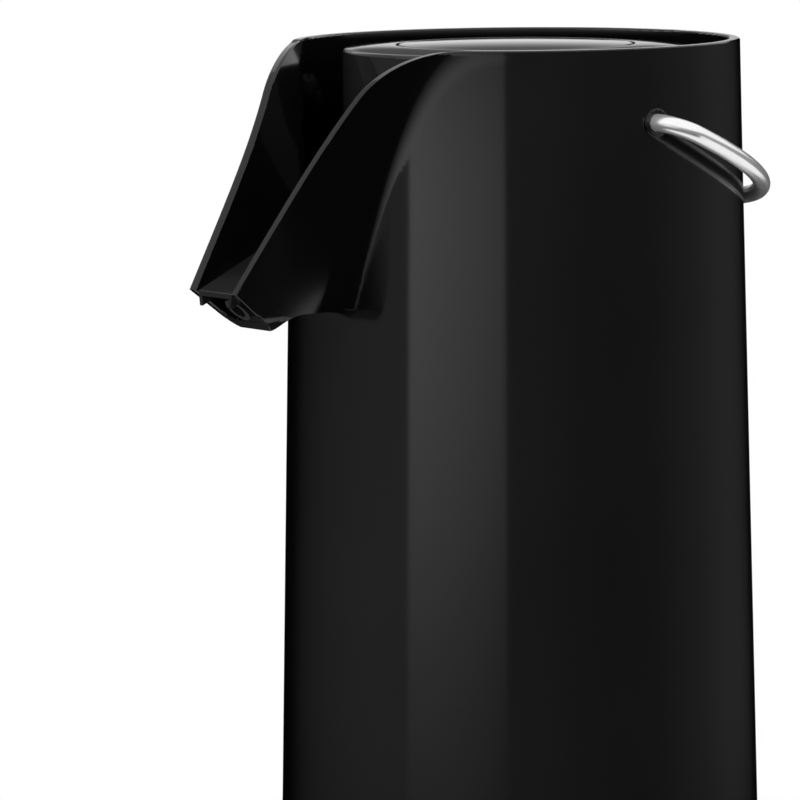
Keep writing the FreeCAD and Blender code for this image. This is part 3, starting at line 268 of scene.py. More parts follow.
class Finish(Nodes):
    """A material under construction."""

    def __init__(self, name):
        self.material = bpy.data.materials.new(name)
        self.material.use_nodes = True
        super().__init__(self.material.node_tree)
        self.tree.nodes.clear()
        self.place = self.node("ShaderNodeTexCoord").outputs["Object"]

    def stretched(self, scale, turn=(0.0, 0.0, 0.0)):
        """The piece's own coordinates, scaled and turned."""
        feeds = {"Vector": self.place, "Scale": scale, "Rotation": turn}
        return self.node("ShaderNodeMapping", feeds).outputs["Vector"]

    def noise(self, scale, detail=2.0, roughness=0.5, place=None):
        feeds = {"Vector": place or self.place, "Scale": scale, "Detail": detail, "Roughness": roughness}
        return Value(self, self.node("ShaderNodeTexNoise", feeds).outputs["Fac"])

    def cells(self, scale):
        made = self.node("ShaderNodeTexVoronoi", {"Vector": self.place, "Scale": scale})
        return Value(self, made.outputs["Distance"])

    def attribute(self, name):
        return Value(self, self.node("ShaderNodeAttribute", attribute_name=name).outputs["Fac"])

    def axis(self, name):
        return Value(self, self.node("ShaderNodeSeparateXYZ", {0: self.place}).outputs[name])

    def shades(self, dark, light, share):
        """A colour between two, by a share."""
        return self.node("ShaderNodeMixRGB", {"Fac": share, 1: (*dark, 1.0), 2: (*light, 1.0)}).outputs[0]

    def relief(self, height, distance):
        feeds = {"Height": height, "Strength": 1.0, "Distance": distance}
        return self.node("ShaderNodeBump", feeds).outputs["Normal"]

    def hairlines(self):
        """Sparse fine wiping marks, 0 to 1, in two crossing directions."""
        rising = self.noise(1.0, roughness=0.6, place=self.stretched((900, 900, 22), (0.35, 0.0, 0.2)))
        falling = self.noise(1.0, roughness=0.6, place=self.stretched((820, 820, 26), (-0.5, 0.2, 0.0)))
        return rising.between(0.66, 0.74).larger(falling.between(0.67, 0.76))

    def glowing(self, shade):
        return self.node("ShaderNodeEmission", {"Color": shade, "Strength": 1.0}).outputs[0]

    def ended(self, shader):
        self.node("ShaderNodeOutputMaterial", {"Surface": shader})
        return self.material

    def surface(self, feeds):
        return self.ended(self.node("ShaderNodeBsdfPrincipled", feeds).outputs["BSDF"])


def tinted(shade, share):
    """A colour made darker, or lighter, by a share."""
    return tuple(min(1.0, part * share) for part in shade)


def gloss_moulding(name, shade, roughness):
    """Polished black plastic: faint clouding, fine wiping marks, and a very slight waviness."""
    finish = Finish(name)
    clouds = finish.noise(14.0, detail=3.0)
    haze = finish.noise(220.0, detail=4.0, roughness=0.6)
    marks = finish.hairlines() * haze.between(0.45, 0.7)
    waves = finish.noise(38.0, detail=1.0)
    return finish.surface({
        "Base Color": finish.shades(tinted(shade, 0.75), tinted(shade, 1.3), clouds.between(0.3, 0.7)),
        "Roughness": roughness + 0.02 * clouds + 0.06 * marks,
        "IOR": 1.49,
        "Normal": finish.relief(waves + 0.02 * marks, 0.0025 * MM),
    })


def satin_moulding(name, shade, roughness, grain):
    """Moulded plastic with a fine spark-eroded grain."""
    finish = Finish(name)
    clouds = finish.noise(30.0, detail=3.0)
    pits = finish.cells(grain).between(0.1, 0.6)
    fine = finish.noise(grain * 2.2, detail=3.0, roughness=0.6)
    return finish.surface({
        "Base Color": finish.shades(tinted(shade, 0.86), tinted(shade, 1.14), 0.6 * clouds + 0.4 * fine),
        "Roughness": roughness + 0.1 * (fine - 0.5) + 0.06 * clouds,
        "IOR": 1.5,
        "Normal": finish.relief(0.7 * pits + 0.3 * fine, 0.03 * MM),
    })


def rubber_moulding(name, shade, roughness, grain, depth):
    """Moulded rubber: matt, finely pebbled, slightly chalky."""
    finish = Finish(name)
    clouds = finish.noise(24.0, detail=4.0, roughness=0.6)
    pebbles = finish.cells(grain)
    bloom = finish.noise(grain * 0.6, detail=5.0, roughness=0.65).between(0.5, 0.8)
    return finish.surface({
        "Base Color": finish.shades(tinted(shade, 0.8), tinted(shade, 1.25), 0.5 * clouds + 0.5 * bloom),
        "Roughness": roughness + 0.08 * (clouds - 0.5),
        "IOR": 1.45,
        "Normal": finish.relief(pebbles, depth),
    })


def silicone_moulding(name, shade):
    return rubber_moulding(name, shade, roughness=0.42, grain=1200.0, depth=0.01 * MM)


def polished_steel(name, shade, rod_length):
    """Drawn and polished rod: fine lines along its length, faint smears, and painted shade on its ends,
    which are made dull and near black where they reach into the jug.
    """
    finish = Finish(name)
    hidden, shown = 7 * MM, 9 * MM
    along = finish.attribute("along")
    around = finish.attribute("around")
    lines = finish.node("ShaderNodeCombineXYZ", {"X": along * 14.0, "Y": around * 240.0}).outputs[0]
    drawn = finish.noise(1.0, detail=3.0, roughness=0.6, place=lines)
    smears = finish.noise(60.0, detail=4.0, roughness=0.6)
    # Painted shade: the last few millimetres of each end, inside the jug, are made near black, dull and less
    # metallic, standing in for the dark there.
    inside = along.between(shown, hidden).larger(along.between(rod_length - shown, rod_length - hidden))
    bright = (0.9 + 0.1 * (0.7 * drawn + 0.3 * smears)) * (1 - inside)
    return finish.surface({
        "Base Color": finish.shades(tinted(shade, 0.012), tinted(shade, 1.06), bright),
        "Metallic": 0.74 * (1 - inside),
        "Roughness": 0.2 + 0.06 * drawn + 0.05 * smears.between(0.5, 0.8) + 0.4 * inside,
        "Normal": finish.relief(drawn, 0.0004 * MM),
    })


def plated_steel(name, shade):
    """Zinc-plated steel: crystalline mottling with darker flecks."""
    finish = Finish(name)
    mottle = finish.cells(900.0).between(0.0, 0.8)
    flecks = finish.noise(700.0, detail=4.0, roughness=0.7).between(0.62, 0.8)
    return finish.surface({
        "Base Color": finish.shades(shade, tinted(shade, 0.72), 0.45 * mottle + 0.5 * flecks),
        "Metallic": 1.0,
        "Roughness": 0.28 + 0.12 * mottle + 0.2 * flecks,
        "Normal": finish.relief(mottle, 0.004 * MM),
    })


def blown_glass(name, shade):
    """Clear blown glass with faint streaks."""
    finish = Finish(name)
    streaks = finish.noise(1.0, place=finish.stretched((9, 9, 40)))
    return finish.surface({
        "Base Color": finish.shades(tinted(shade, 0.96), tinted(shade, 1.04), streaks),
        "Roughness": 0.01 + 0.02 * streaks,
        "Transmission Weight": 1.0,
        "IOR": 1.5,
        "Normal": finish.relief(streaks, 0.02 * MM),
    })


def silvered_glass(name, shade):
    """Mirror silver behind glass, with slow waves and faint specks."""
    finish = Finish(name)
    waves = finish.noise(26.0)
    specks = finish.cells(320.0).between(0.12, 0.05)
    return finish.surface({
        "Base Color": finish.shades(shade, tinted(shade, 0.5), specks),
        "Metallic": 1.0,
        "Roughness": 0.04 + 0.05 * waves + 0.2 * specks,
        "Normal": finish.relief(waves, 0.06 * MM),
    })


# Meshes.

def linked(name, data):
    """A new object of the scene that holds some data."""
    piece = bpy.data.objects.new(name, data)
    bpy.context.scene.collection.objects.link(piece)
    return piece


def coated(mesh, material):
    """Leaves a mesh with one material."""
    mesh.materials.clear()
    mesh.materials.append(material)


def settled(name, mesh, body, nodes, material):
    """Makes a finished mesh a piece that rides on a body and stands for CAD nodes."""
    coated(mesh, material)
    piece = linked(name, mesh)
    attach(piece, body)
    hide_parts(*nodes)
    return piece


def dressed(names, material):
    """Gives CAD nodes that stay in view their material."""
    for name in names:
        coated(NODES[name].data, material)


def plain_mesh(piece, name):
    """The piece's mesh with its modifiers worked in; the piece itself is removed."""
    graph = bpy.context.evaluated_depsgraph_get()
    graph.update()
    mesh = bpy.data.meshes.new_from_object(piece.evaluated_get(graph), depsgraph=graph)
    mesh.name = name
    source = piece.data
    store = bpy.data.curves if piece.type == "CURVE" else bpy.data.meshes
    bpy.data.objects.remove(piece)
    store.remove(source)
    return mesh


def eased(corners, parts=6):
    """A closed outline of (radius, height, rounding) corners, each rounding drawn as a short arc."""
    outline = []
    for index, (across, up, rounding) in enumerate(corners):
        here = Vector((across, up))
        if rounding <= 0:
            outline.append(here)
            continue
        before = (Vector(corners[index - 1][:2]) - here).normalized()
        after = (Vector(corners[(index + 1) % len(corners)][:2]) - here).normalized()
        half = before.angle(after) / 2
        tangent = rounding / math.tan(half)
        centre = here + (before + after).normalized() * (rounding / math.sin(half))
        start = here + before * tangent - centre
        end = here + after * tangent - centre
        sweep = start.angle_signed(end)
        for part in range(parts + 1):
            turn = -sweep * part / parts
            arm = Vector((start.x * math.cos(turn) - start.y * math.sin(turn),
                          start.x * math.sin(turn) + start.y * math.cos(turn)))
            outline.append(centre + arm)
    return outline


def circle_points(radius, height, steps):
    """Even points of a level circle about the upright axis."""
    angles = (FULL_TURN * step / steps for step in range(steps))
    return [(radius * math.cos(turn), radius * math.sin(turn), height) for turn in angles]


def turned(name, outline, steps=192):
    """A closed mesh turned about the upright axis from an outline of (radius, height) points."""
    work = bmesh.new()
    on_axis = 1e-7
    rings = []
    for radius, height in outline:
        if radius < on_axis:
            rings.append([work.verts.new((0.0, 0.0, height))] * steps)
        else:
            rings.append([work.verts.new(spot) for spot in circle_points(radius, height, steps)])
    for index, lower in enumerate(rings):
        upper = rings[(index + 1) % len(rings)]
        for step in range(steps):
            after = (step + 1) % steps
            quad = [lower[step], lower[after], upper[after], upper[step]]
            corners = [vert for spot, vert in enumerate(quad) if vert not in quad[:spot]]
            if len(corners) > 2:
                work.faces.new(corners)
    bmesh.ops.recalc_face_normals(work, faces=work.faces)
    return smoothed(name, work)


def shaded(mesh, sharp):
    """Shades a mesh smooth, apart from edges sharper than an angle in degrees."""
    mesh.shade_smooth()
    mesh.set_sharp_from_angle(angle=math.radians(sharp))
    return mesh


def smoothed(name, work):
    """Ends a mesh under construction."""
    mesh = bpy.data.meshes.new(name)
    work.to_mesh(mesh)
    work.free()
    return shaded(mesh, sharp=35)


def even_shading(mesh):
    """Weighs the shading normals by face size, so that flat faces stay flat beside their rounded edges."""
    holder = linked(mesh.name, mesh)
    weighted = holder.modifiers.new("weighted", "WEIGHTED_NORMAL")
    weighted.keep_sharp = True
    weighted.weight = 100
    return plain_mesh(holder, mesh.name)


def merged_copy(node):
    """A copy of a CAD node's mesh with its loose triangles joined."""
    work = bmesh.new()
    work.from_mesh(NODES[node].data)
    bmesh.ops.remove_doubles(work, verts=work.verts, dist=0.001 * MM)
    return smoothed(f"{node}_copy", work)


def eased_copy(node, width):
    """A joined copy of a CAD node with its sharp edges rounded off."""
    holder = linked(node, merged_copy(node))
    ease = holder.modifiers.new("ease", "BEVEL")
    ease.width = width
    ease.segments = 2
    ease.limit_method = "ANGLE"
    ease.angle_limit = math.radians(40)
    ease.use_clamp_overlap = True
    ease.harden_normals = True
    return plain_mesh(holder, node)


# Shading normals of the shell, which keep its mirrored light even across the joined triangles.

OUTSIDE = 1
INSIDE = -1
# A distance that is never near a surface.
OFF_FIELD = 1.0
# How far inside the true surface the edges of the CAD mesh may run.
CHORD_SAG = 0.7 * MM


def rows(items, key, width, kind=float):
    """One property of a mesh's points, corners or faces, a row for each."""
    values = np.empty(len(items) * width, kind)
    items.foreach_get(key, values)
    return values.reshape(-1, width)


def unit(vectors):
    """Rows of vectors, each made one long."""
    return vectors / np.maximum(np.linalg.norm(vectors, axis=1), 1e-12)[:, None]


def corner_shading(mesh, fields):
    """Sets each face corner's normal: exact where the corner lies on a known surface, else face-weighted.

    A field gives, for points, their distance from its surface and its outward normals. With it come the
    distance within which a corner counts as on the surface, and how many degrees its face may lean from it.
    """
    same_surface = math.cos(math.radians(35))
    points = rows(mesh.vertices, "co", 3)
    corner_points = rows(mesh.loops, "vertex_index", 1, int)[:, 0]
    normals = rows(mesh.polygons, "normal", 3)
    areas = rows(mesh.polygons, "area", 1)[:, 0]
    corner_counts = rows(mesh.polygons, "loop_total", 1, int)[:, 0]
    corner_faces = np.repeat(np.arange(len(corner_counts)), corner_counts)
    shading = normals[corner_faces].copy()
    fans = {}
    for corner, point in enumerate(corner_points):
        fans.setdefault(point, []).append(corner)
    for fan in fans.values():
        faces = corner_faces[fan]
        around = normals[faces]
        alike = around @ around.T > same_surface
        shading[fan] = (alike * areas[faces]) @ around
    for near, within, field in fields:
        gaps, outward = field(points)
        on_field = np.abs(gaps[corner_points]) < near
        facing = np.einsum("ij,ij->i", outward[corner_points], normals[corner_faces])
        exact = on_field & (facing > math.cos(math.radians(within)))
        shading[exact] = outward[corner_points][exact]
    mesh.normals_split_custom_set(unit(shading).tolist())


def taper(sizes):
    """How much the body narrows for each metre of height."""
    return (sizes.base_radius - sizes.rim_radius) / sizes.height


def body_radius(sizes, up):
    return sizes.base_radius - taper(sizes) * up


def cone_field(sizes, inset, side):
    """The tapered body drawn in by an inset, its OUTSIDE or its bore, INSIDE."""
    def field(points):
        radius = np.hypot(points[:, 0], points[:, 1])
        gaps = radius - (body_radius(sizes, points[:, 2]) - inset)
        outward = np.column_stack([points[:, 0], points[:, 1], taper(sizes) * radius])
        return gaps, side * unit(outward)
    return field


def beak_field(sizes, inset, side):
    """The beak's two leaning, flaring walls drawn in by an inset, seen from OUTSIDE or INSIDE."""
    drop = sizes.height - sizes.beak_tip_height
    nearest = 0.5 * sizes.rim_radius
    step = 0.01 * MM

    def half_width(across, up):
        run = np.maximum(sizes.beak_flare_reach - across, 0.0)
        lean = sizes.beak_lean + run ** 2 / (2 * sizes.beak_flare_radius * drop)
        return sizes.beak_tip_half_width - inset * np.hypot(1.0, lean) + lean * (up - sizes.beak_tip_height)

    def field(points):
        across, along, up = points.T
        gaps = np.abs(along) - half_width(across, up)
        by_across = (half_width(across + step, up) - half_width(across - step, up)) / (2 * step)
        by_up = (half_width(across, up + step) - half_width(across, up - step)) / (2 * step)
        outward = np.column_stack([-by_across, np.sign(along), -by_up])
        return np.where(across > nearest, gaps, OFF_FIELD), side * unit(outward)
    return field


def soft_step(values, low, high):
    """Smooth step from 0 at low to 1 at high."""
    share = np.clip((values - low) / (high - low), 0.0, 1.0)
    return share * share * (3 - 2 * share)


def root_field(sizes):
    """The beak's outer walls sweeping into the body without a crease, and the body just under the beak."""
    body = cone_field(sizes, 0.0, OUTSIDE)
    walls = beak_field(sizes, 0.0, OUTSIDE)
    chin_drop = 3.3 * MM
    underside = node_foot("pump_cover") - chin_drop
    least_reach = 3 * MM
    sweep_rise = 34 * MM
    under_band = 0.6 * MM
    under_reach = 12 * MM
    lip_band = 1.1 * MM

    def field(points):
        across, _, up = points.T
        off_body, body_normals = body(points)
        off_walls, wall_normals = walls(points)
        reach = least_reach + sizes.root_sweep * soft_step(up, underside, underside + sweep_rise)
        share = soft_step(off_body - off_walls, -reach, reach)
        share = share * soft_step(across, 0.3 * sizes.rim_radius, 0.75 * sizes.rim_radius)
        under = up < underside + under_band
        share = np.where(under, 0.0, share)[:, None]
        outward = unit(body_normals * (1 - share) + wall_normals * share)
        front = (across > 0.25 * sizes.rim_radius) & (up > underside - under_reach)
        outside = (off_body > -CHORD_SAG) & (under | (off_walls > -CHORD_SAG))
        below_lip = up < sizes.height - lip_band
        return np.where(front & outside & below_lip, 0.0, OFF_FIELD), outward
    return field


def in_triangles(work):
    """Cuts every larger face into triangles."""
    bmesh.ops.triangulate(work, faces=[face for face in work.faces if len(face.verts) > 3])


def refined_front(mesh, sizes, finest):
    """Divides the shell's outer front into small faces, so that its shading can follow the beak's root."""
    work = bmesh.new()
    work.from_mesh(mesh)
    below_chin = 16 * MM
    level = node_foot("pump_cover") - below_chin
    nearest = 0.2 * sizes.rim_radius
    touching = 0.001 * MM
    narrowest = 0.005 * MM
    most_cuts = 7
    cleaning_rounds = 3
    everything = list(work.verts) + list(work.edges) + list(work.faces)
    bmesh.ops.bisect_plane(work, geom=everything, plane_co=(0, 0, level), plane_no=UP)

    def on_front(spot):
        outer = math.hypot(spot.x, spot.y) > body_radius(sizes, spot.z) - CHORD_SAG
        return outer and spot.x > nearest and spot.z > level - touching

    for _ in range(most_cuts):
        long_edges = [edge for edge in work.edges
                      if edge.calc_length() > finest and all(on_front(vert.co) for vert in edge.verts)]
        if not long_edges:
            break
        bmesh.ops.subdivide_edges(work, edges=long_edges, cuts=1)
        in_triangles(work)
    for _ in range(cleaning_rounds):
        bmesh.ops.dissolve_degenerate(work, dist=narrowest, edges=work.edges)
        in_triangles(work)
    mesh.clear_geometry()
    work.to_mesh(mesh)
    work.free()
    mesh.shade_smooth()
    return mesh


# Geometry Nodes.

def geometry_tree(name, inputs):
    """A tree with a geometry input and output and named size inputs, and what it is given."""
    tree = bpy.data.node_groups.new(name, "GeometryNodeTree")
    for way in ("INPUT", "OUTPUT"):
        tree.interface.new_socket("Geometry", in_out=way, socket_type="NodeSocketGeometry")
    for label, kind in inputs.items():
        tree.interface.new_socket(label, in_out="INPUT", socket_type=f"NodeSocket{kind}")
    nodes = Nodes(tree)
    return nodes, nodes.node("NodeGroupInput").outputs


def finished_tree(nodes, geometry, material):
    """Ends a tree: real geometry and the material."""
    real = nodes.node("GeometryNodeRealizeInstances", {"Geometry": geometry})
    shown = nodes.node("GeometryNodeSetMaterial", {"Geometry": real.outputs[0], "Material": material})
    nodes.node("NodeGroupOutput", {0: shown.outputs[0]})
    return nodes.tree


def made_by_tree(name, data, tree, sizes):
    """The plain mesh that a tree makes from some data with given sizes."""
    holder = linked(name, data)
    modifier = holder.modifiers.new(name, "NODES")
    modifier.node_group = tree
    for item in tree.interface.items_tree:
        if item.in_out == "INPUT" and item.name in sizes:
            modifier[item.identifier] = sizes[item.name]
    return plain_mesh(holder, name)


def marked_curve(nodes, curve, label, measure):
    """A curve that carries a measure of its own points, and the measure to store on what is made of it."""
    place = nodes.node("GeometryNodeSplineParameter").outputs[measure]
    marked = nodes.node("GeometryNodeCaptureAttribute", {"Geometry": curve}, domain="POINT")
    marked.capture_items.new("FLOAT", label)
    nodes.feed(marked.inputs[1], place)
    return marked.outputs[0], marked.outputs[1]


def upright(nodes, value):
    """A vector along Z, as a lift or a turn."""
    return nodes.node("ShaderNodeCombineXYZ", {"Z": value}).outputs[0]


def round_section(nodes, sides, radius):
    feeds = {"Resolution": sides, "Radius": radius}
    return nodes.node("GeometryNodeCurvePrimitiveCircle", feeds).outputs["Curve"]


def swept(nodes, path, section):
    feeds = {"Curve": path, "Profile Curve": section, "Fill Caps": True}
    return nodes.node("GeometryNodeCurveToMesh", feeds).outputs["Mesh"]


def swept_rod_tree(material):
    """A round rod along a path, with its place along and around kept for the material."""
    nodes, given = geometry_tree("swept_rod", {"Radius": "Float", "Sides": "Int"})
    path, along = marked_curve(nodes, given["Geometry"], "along", "Length")
    ring = round_section(nodes, given["Sides"], given["Radius"])
    section, around = marked_curve(nodes, ring, "around", "Factor")
    shaped = swept(nodes, path, section)
    for label, source in (("along", along), ("around", around)):
        stored = nodes.node("GeometryNodeStoreNamedAttribute",
                            {"Geometry": shaped, "Name": label, "Value": source},
                            data_type="FLOAT", domain="POINT")
        shaped = stored.outputs["Geometry"]
    return finished_tree(nodes, shaped, material)


def coil_tree(material):
    """Round wire wound in even turns upwards from a foot."""
    nodes, given = geometry_tree("wound_coil", {
        "Turns": "Float", "Radius": "Float", "Wire": "Float", "Foot": "Float", "Rise": "Float"})
    steps_a_turn = 48
    wire_sides = 14
    coil = nodes.node("GeometryNodeCurveSpiral", {
        "Resolution": steps_a_turn, "Rotations": given["Turns"], "Start Radius": given["Radius"],
        "End Radius": given["Radius"], "Height": given["Rise"]})
    raised = nodes.node("GeometryNodeTransform", {
        "Geometry": coil.outputs[0], "Translation": upright(nodes, given["Foot"])})
    wound = swept(nodes, raised.outputs[0], round_section(nodes, wire_sides, given["Wire"]))
    return finished_tree(nodes, wound, material)


def ring_of_tree(material):
    """The given part repeated round the upright axis."""
    nodes, given = geometry_tree("ring_of_parts", {
        "Count": "Int", "Circle": "Float", "First": "Float", "Foot": "Float"})
    spots = nodes.node("GeometryNodeMeshCircle", {"Vertices": given["Count"], "Radius": given["Circle"]})
    placed = nodes.node("GeometryNodeTransform", {
        "Geometry": spots.outputs["Mesh"], "Translation": upright(nodes, given["Foot"]),
        "Rotation": upright(nodes, given["First"])})
    copies = nodes.node("GeometryNodeInstanceOnPoints", {
        "Points": placed.outputs[0], "Instance": given["Geometry"]})
    return finished_tree(nodes, copies.outputs["Instances"], material)


def screw_mesh(head_radius, head_height, shank_radius, tip_height):
    """One screw, head down: a pan head with a cross recess, and a threaded shank with a point."""
    work = bmesh.new()
    steps = 32
    pitch = 1.1 * MM
    recess_levels = (1, 2)
    outline = [(0.0, 0.45 * head_height), (0.42 * head_radius, 0.3 * head_height), (0.5 * head_radius, 0.0),
               (0.78 * head_radius, 0.04 * head_height), (0.95 * head_radius, 0.25 * head_height),
               (head_radius, 0.55 * head_height), (head_radius, head_height), (shank_radius, head_height)]
    up = head_height + pitch
    while up < tip_height - 2 * pitch:
        outline += [(0.8 * shank_radius, up), (shank_radius, up + 0.5 * pitch)]
        up += pitch
    outline += [(0.7 * shank_radius, tip_height - pitch), (0.0, tip_height)]
    rings = []
    for level, (radius, height) in enumerate(outline):
        ring = []
        for step in range(steps):
            turn = FULL_TURN * step / steps
            lobe = 0.45 + 0.55 * abs(math.cos(2 * turn)) ** 3 if level in recess_levels else 1.0
            across = radius * lobe
            ring.append(work.verts.new((across * math.cos(turn), across * math.sin(turn), height)))
        rings.append(ring)
    for lower, upper in zip(rings, rings[1:]):
        for step in range(steps):
            after = (step + 1) % steps
            work.faces.new([lower[step], lower[after], upper[after], upper[step]])
    bmesh.ops.remove_doubles(work, verts=work.verts, dist=0.0001 * MM)
    bmesh.ops.recalc_face_normals(work, faces=work.faces)
    return smoothed("screw", work)


def screw_ring(name, body, node, number, first, head_radius, head_height, shank_radius, zinc):
    """Makes a ring of like screws, the first at an angle from the beak's side, in place of a CAD node."""
    lowest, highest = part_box(node)
    screw = screw_mesh(head_radius, head_height, shank_radius, highest.z - lowest.z)
    circle = (highest.x - head_radius) / math.cos(first)
    ring = made_by_tree(name, screw, ring_of_tree(zinc), {
        "Count": number, "Circle": circle, "First": first, "Foot": lowest.z})
    settled(name, ring, body, [node], zinc)


# Operators, one for each group of pieces.

class JUG_OT_shell(bpy.types.Operator):
    """Makes the shell with its beak, shaded as the even walls that it is made of"""
    bl_idname = "jug.shell"
    bl_label = "Shell"

    def execute(self, context):
        sizes = context.scene.jug_shell
        wall_lean, root_lean = 25, 62
        mesh = refined_front(merged_copy("outer_shell"), sizes, finest=3 * MM)
        corner_shading(mesh, [
            (0.15 * MM, wall_lean, cone_field(sizes, 0.0, OUTSIDE)),
            (0.02 * MM, wall_lean, cone_field(sizes, sizes.wall, INSIDE)),
            (0.06 * MM, wall_lean, beak_field(sizes, 0.0, OUTSIDE)),
            (0.06 * MM, wall_lean, beak_field(sizes, sizes.wall, INSIDE)),
            (0.01 * MM, root_lean, root_field(sizes)),
        ])
        gloss = gloss_moulding("shell_gloss", context.scene.jug_colours.shell, roughness=0.1)
        settled("shell", mesh, "jug", ["outer_shell"], gloss)
        return {"FINISHED"}


class JUG_OT_base(bpy.types.Operator):
    """Makes the bottom cap, its screws and the rubber foot"""
    bl_idname = "jug.base"
    bl_label = "Base"

    def cap(self, sizes):
        """Outline of the cap: a recess for the foot, the taper up to the seam, and a spigot inside."""
        clearance = 0.3 * MM
        spigot_wall = 3 * MM
        foot_top = node_top("foot_pad")
        cap_foot = node_foot("base_cap")
        cap_top = node_top("base_cap")
        floor_wall = 3.5 * MM
        floor = foot_top + floor_wall
        recess = sizes.foot_radius + clearance
        seam_radius = body_radius(sizes, sizes.seam_height)
        spigot = seam_radius - sizes.wall - clearance
        ease = sizes.seam_ease
        return eased([
            (0.0, foot_top, 0.0),
            (recess, foot_top, 0.0),
            (recess, cap_foot, ease),
            (body_radius(sizes, cap_foot), cap_foot, 2 * ease),
            (seam_radius, sizes.seam_height, ease),
            (spigot, sizes.seam_height, 0.0),
            (spigot, cap_top, ease),
            (spigot - spigot_wall, cap_top, ease),
            (spigot - spigot_wall, floor, 0.0),
            (0.0, floor, 0.0),
        ])

    def foot(self, sizes):
        """Outline of the foot, with rings under its outer part."""
        rib = 0.5 * MM
        top = node_top("foot_pad")
        spacing = 0.6 * sizes.foot_radius / max(sizes.foot_ribs, 1)
        outline = [(0.0, rib)]
        for number in range(sizes.foot_ribs):
            start = 0.36 * sizes.foot_radius + number * spacing
            outline += [(start, rib), (start + 0.1 * spacing, 0.0),
                        (start + 0.6 * spacing, 0.0), (start + 0.7 * spacing, rib)]
        return outline + [(sizes.foot_radius, rib), (sizes.foot_radius, top), (0.0, top)]

    def execute(self, context):
        sizes = context.scene.jug_shell
        shades = context.scene.jug_colours
        satin = satin_moulding("base_satin", shades.base, roughness=0.36, grain=1500.0)
        cap = even_shading(turned("bottom_cap", self.cap(sizes)))
        settled("bottom_cap", cap, "jug", ["base_cap"], satin)
        rubber = rubber_moulding("foot_rubber", shades.rubber, roughness=0.78, grain=900.0, depth=0.05 * MM)
        foot = turned("rubber_foot", self.foot(sizes))
        settled("rubber_foot", foot, "jug", ["foot_pad"], rubber)
        zinc = plated_steel("base_screw_zinc", shades.zinc)
        screw_ring("bottom_screws", "jug", "base_screws", sizes.screws, first=0.0,
                   head_radius=3.4 * MM, head_height=2 * MM, shank_radius=1.75 * MM, zinc=zinc)
        return {"FINISHED"}


class JUG_OT_flask(bpy.types.Operator):
    """Dresses the flask, its cushion and its gasket, and makes the collar over it"""
    bl_idname = "jug.flask"
    bl_label = "Flask"

    def execute(self, context):
        shades = context.scene.jug_colours
        foam = rubber_moulding("cushion_foam", shades.cushion, roughness=0.9, grain=420.0, depth=0.2 * MM)
        dressed(["liner_inner_glass"], blown_glass("flask_inner_glass", shades.glass))
        dressed(["liner_outer_glass"], silvered_glass("flask_silvering", shades.silver))
        dressed(["liner_cushion"], foam)
        dressed(["liner_gasket"], silicone_moulding("mouth_silicone", shades.silicone))
        grey = satin_moulding("collar_satin", shades.collar, roughness=0.34, grain=1400.0)
        collar = eased_copy("shoulder_ring", width=0.5 * MM)
        settled("shoulder_collar", collar, "jug", ["shoulder_ring"], grey)
        return {"FINISHED"}


class JUG_OT_bail(bpy.types.Operator):
    """Makes the bail and its bushes in the wall, and dresses its clips"""
    bl_idname = "jug.bail"
    bl_label = "Bail"

    def route(self, sizes):
        """Points of the rod's middle line: out from one end, round the back of the jug and in again."""
        arc = sizes.arc_radius
        bend = sizes.bend_radius
        end_steps, bend_steps, arc_steps = 6, 12, 60
        bend_start = math.sqrt((arc - bend) ** 2 - bend ** 2)
        swing = math.atan2(bend_start, -bend)
        points = []
        for step in range(end_steps):
            points.append(Vector((0.0, sizes.inner_end + (bend_start - sizes.inner_end) * step / end_steps)))
        centre = Vector((-bend, bend_start))
        for step in range(bend_steps + 1):
            turn = swing * step / bend_steps
            points.append(centre + bend * Vector((math.cos(turn), math.sin(turn))))
        for step in range(1, arc_steps + 1):
            turn = swing + (math.pi - swing) * step / arc_steps
            points.append(arc * Vector((math.cos(turn), math.sin(turn))))
        mirrored = [Vector((point.x, -point.y)) for point in reversed(points[:-1])]
        lean = Matrix.Rotation(-sizes.tilt, 4, "Y")
        lift = Matrix.Translation((0.0, 0.0, sizes.pivot_height))
        return [lift @ lean @ Vector((point.x, point.y, 0.0)) for point in points + mirrored]

    def execute(self, context):
        sizes = context.scene.jug_bail
        shades = context.scene.jug_colours
        points = self.route(sizes)
        rod_length = sum((last - first).length for first, last in zip(points, points[1:]))
        steel = polished_steel("bail_polish", shades.steel, rod_length)
        path = bpy.data.curves.new("bail_path", "CURVE")
        path.dimensions = "3D"
        spline = path.splines.new("POLY")
        spline.points.add(len(points) - 1)
        for spot, point in zip(spline.points, points):
            spot.co = (*point, 1.0)
        rod_sides = 40
        rod = made_by_tree("bail_rod", path, swept_rod_tree(steel), {
            "Radius": sizes.rod_radius, "Sides": rod_sides})
        settled("bail_rod", shaded(rod, sharp=50), "bail", ["bail_handle"], steel)
        black = gloss_moulding("bush_gloss", shades.shell, roughness=0.14)
        for side in ("left", "right"):
            bush = eased_copy(f"bail_bush_{side}", width=0.25 * MM)
            settled(f"bush_{side}", bush, "jug", [f"bail_bush_{side}"], black)
        # The clips are plated steel painted near black, as painted shade of the dark inside of the jug.
        dressed(["bail_clips"], plated_steel("clip_black_oxide", tinted(shades.zinc, 0.03)))
        return {"FINISHED"}


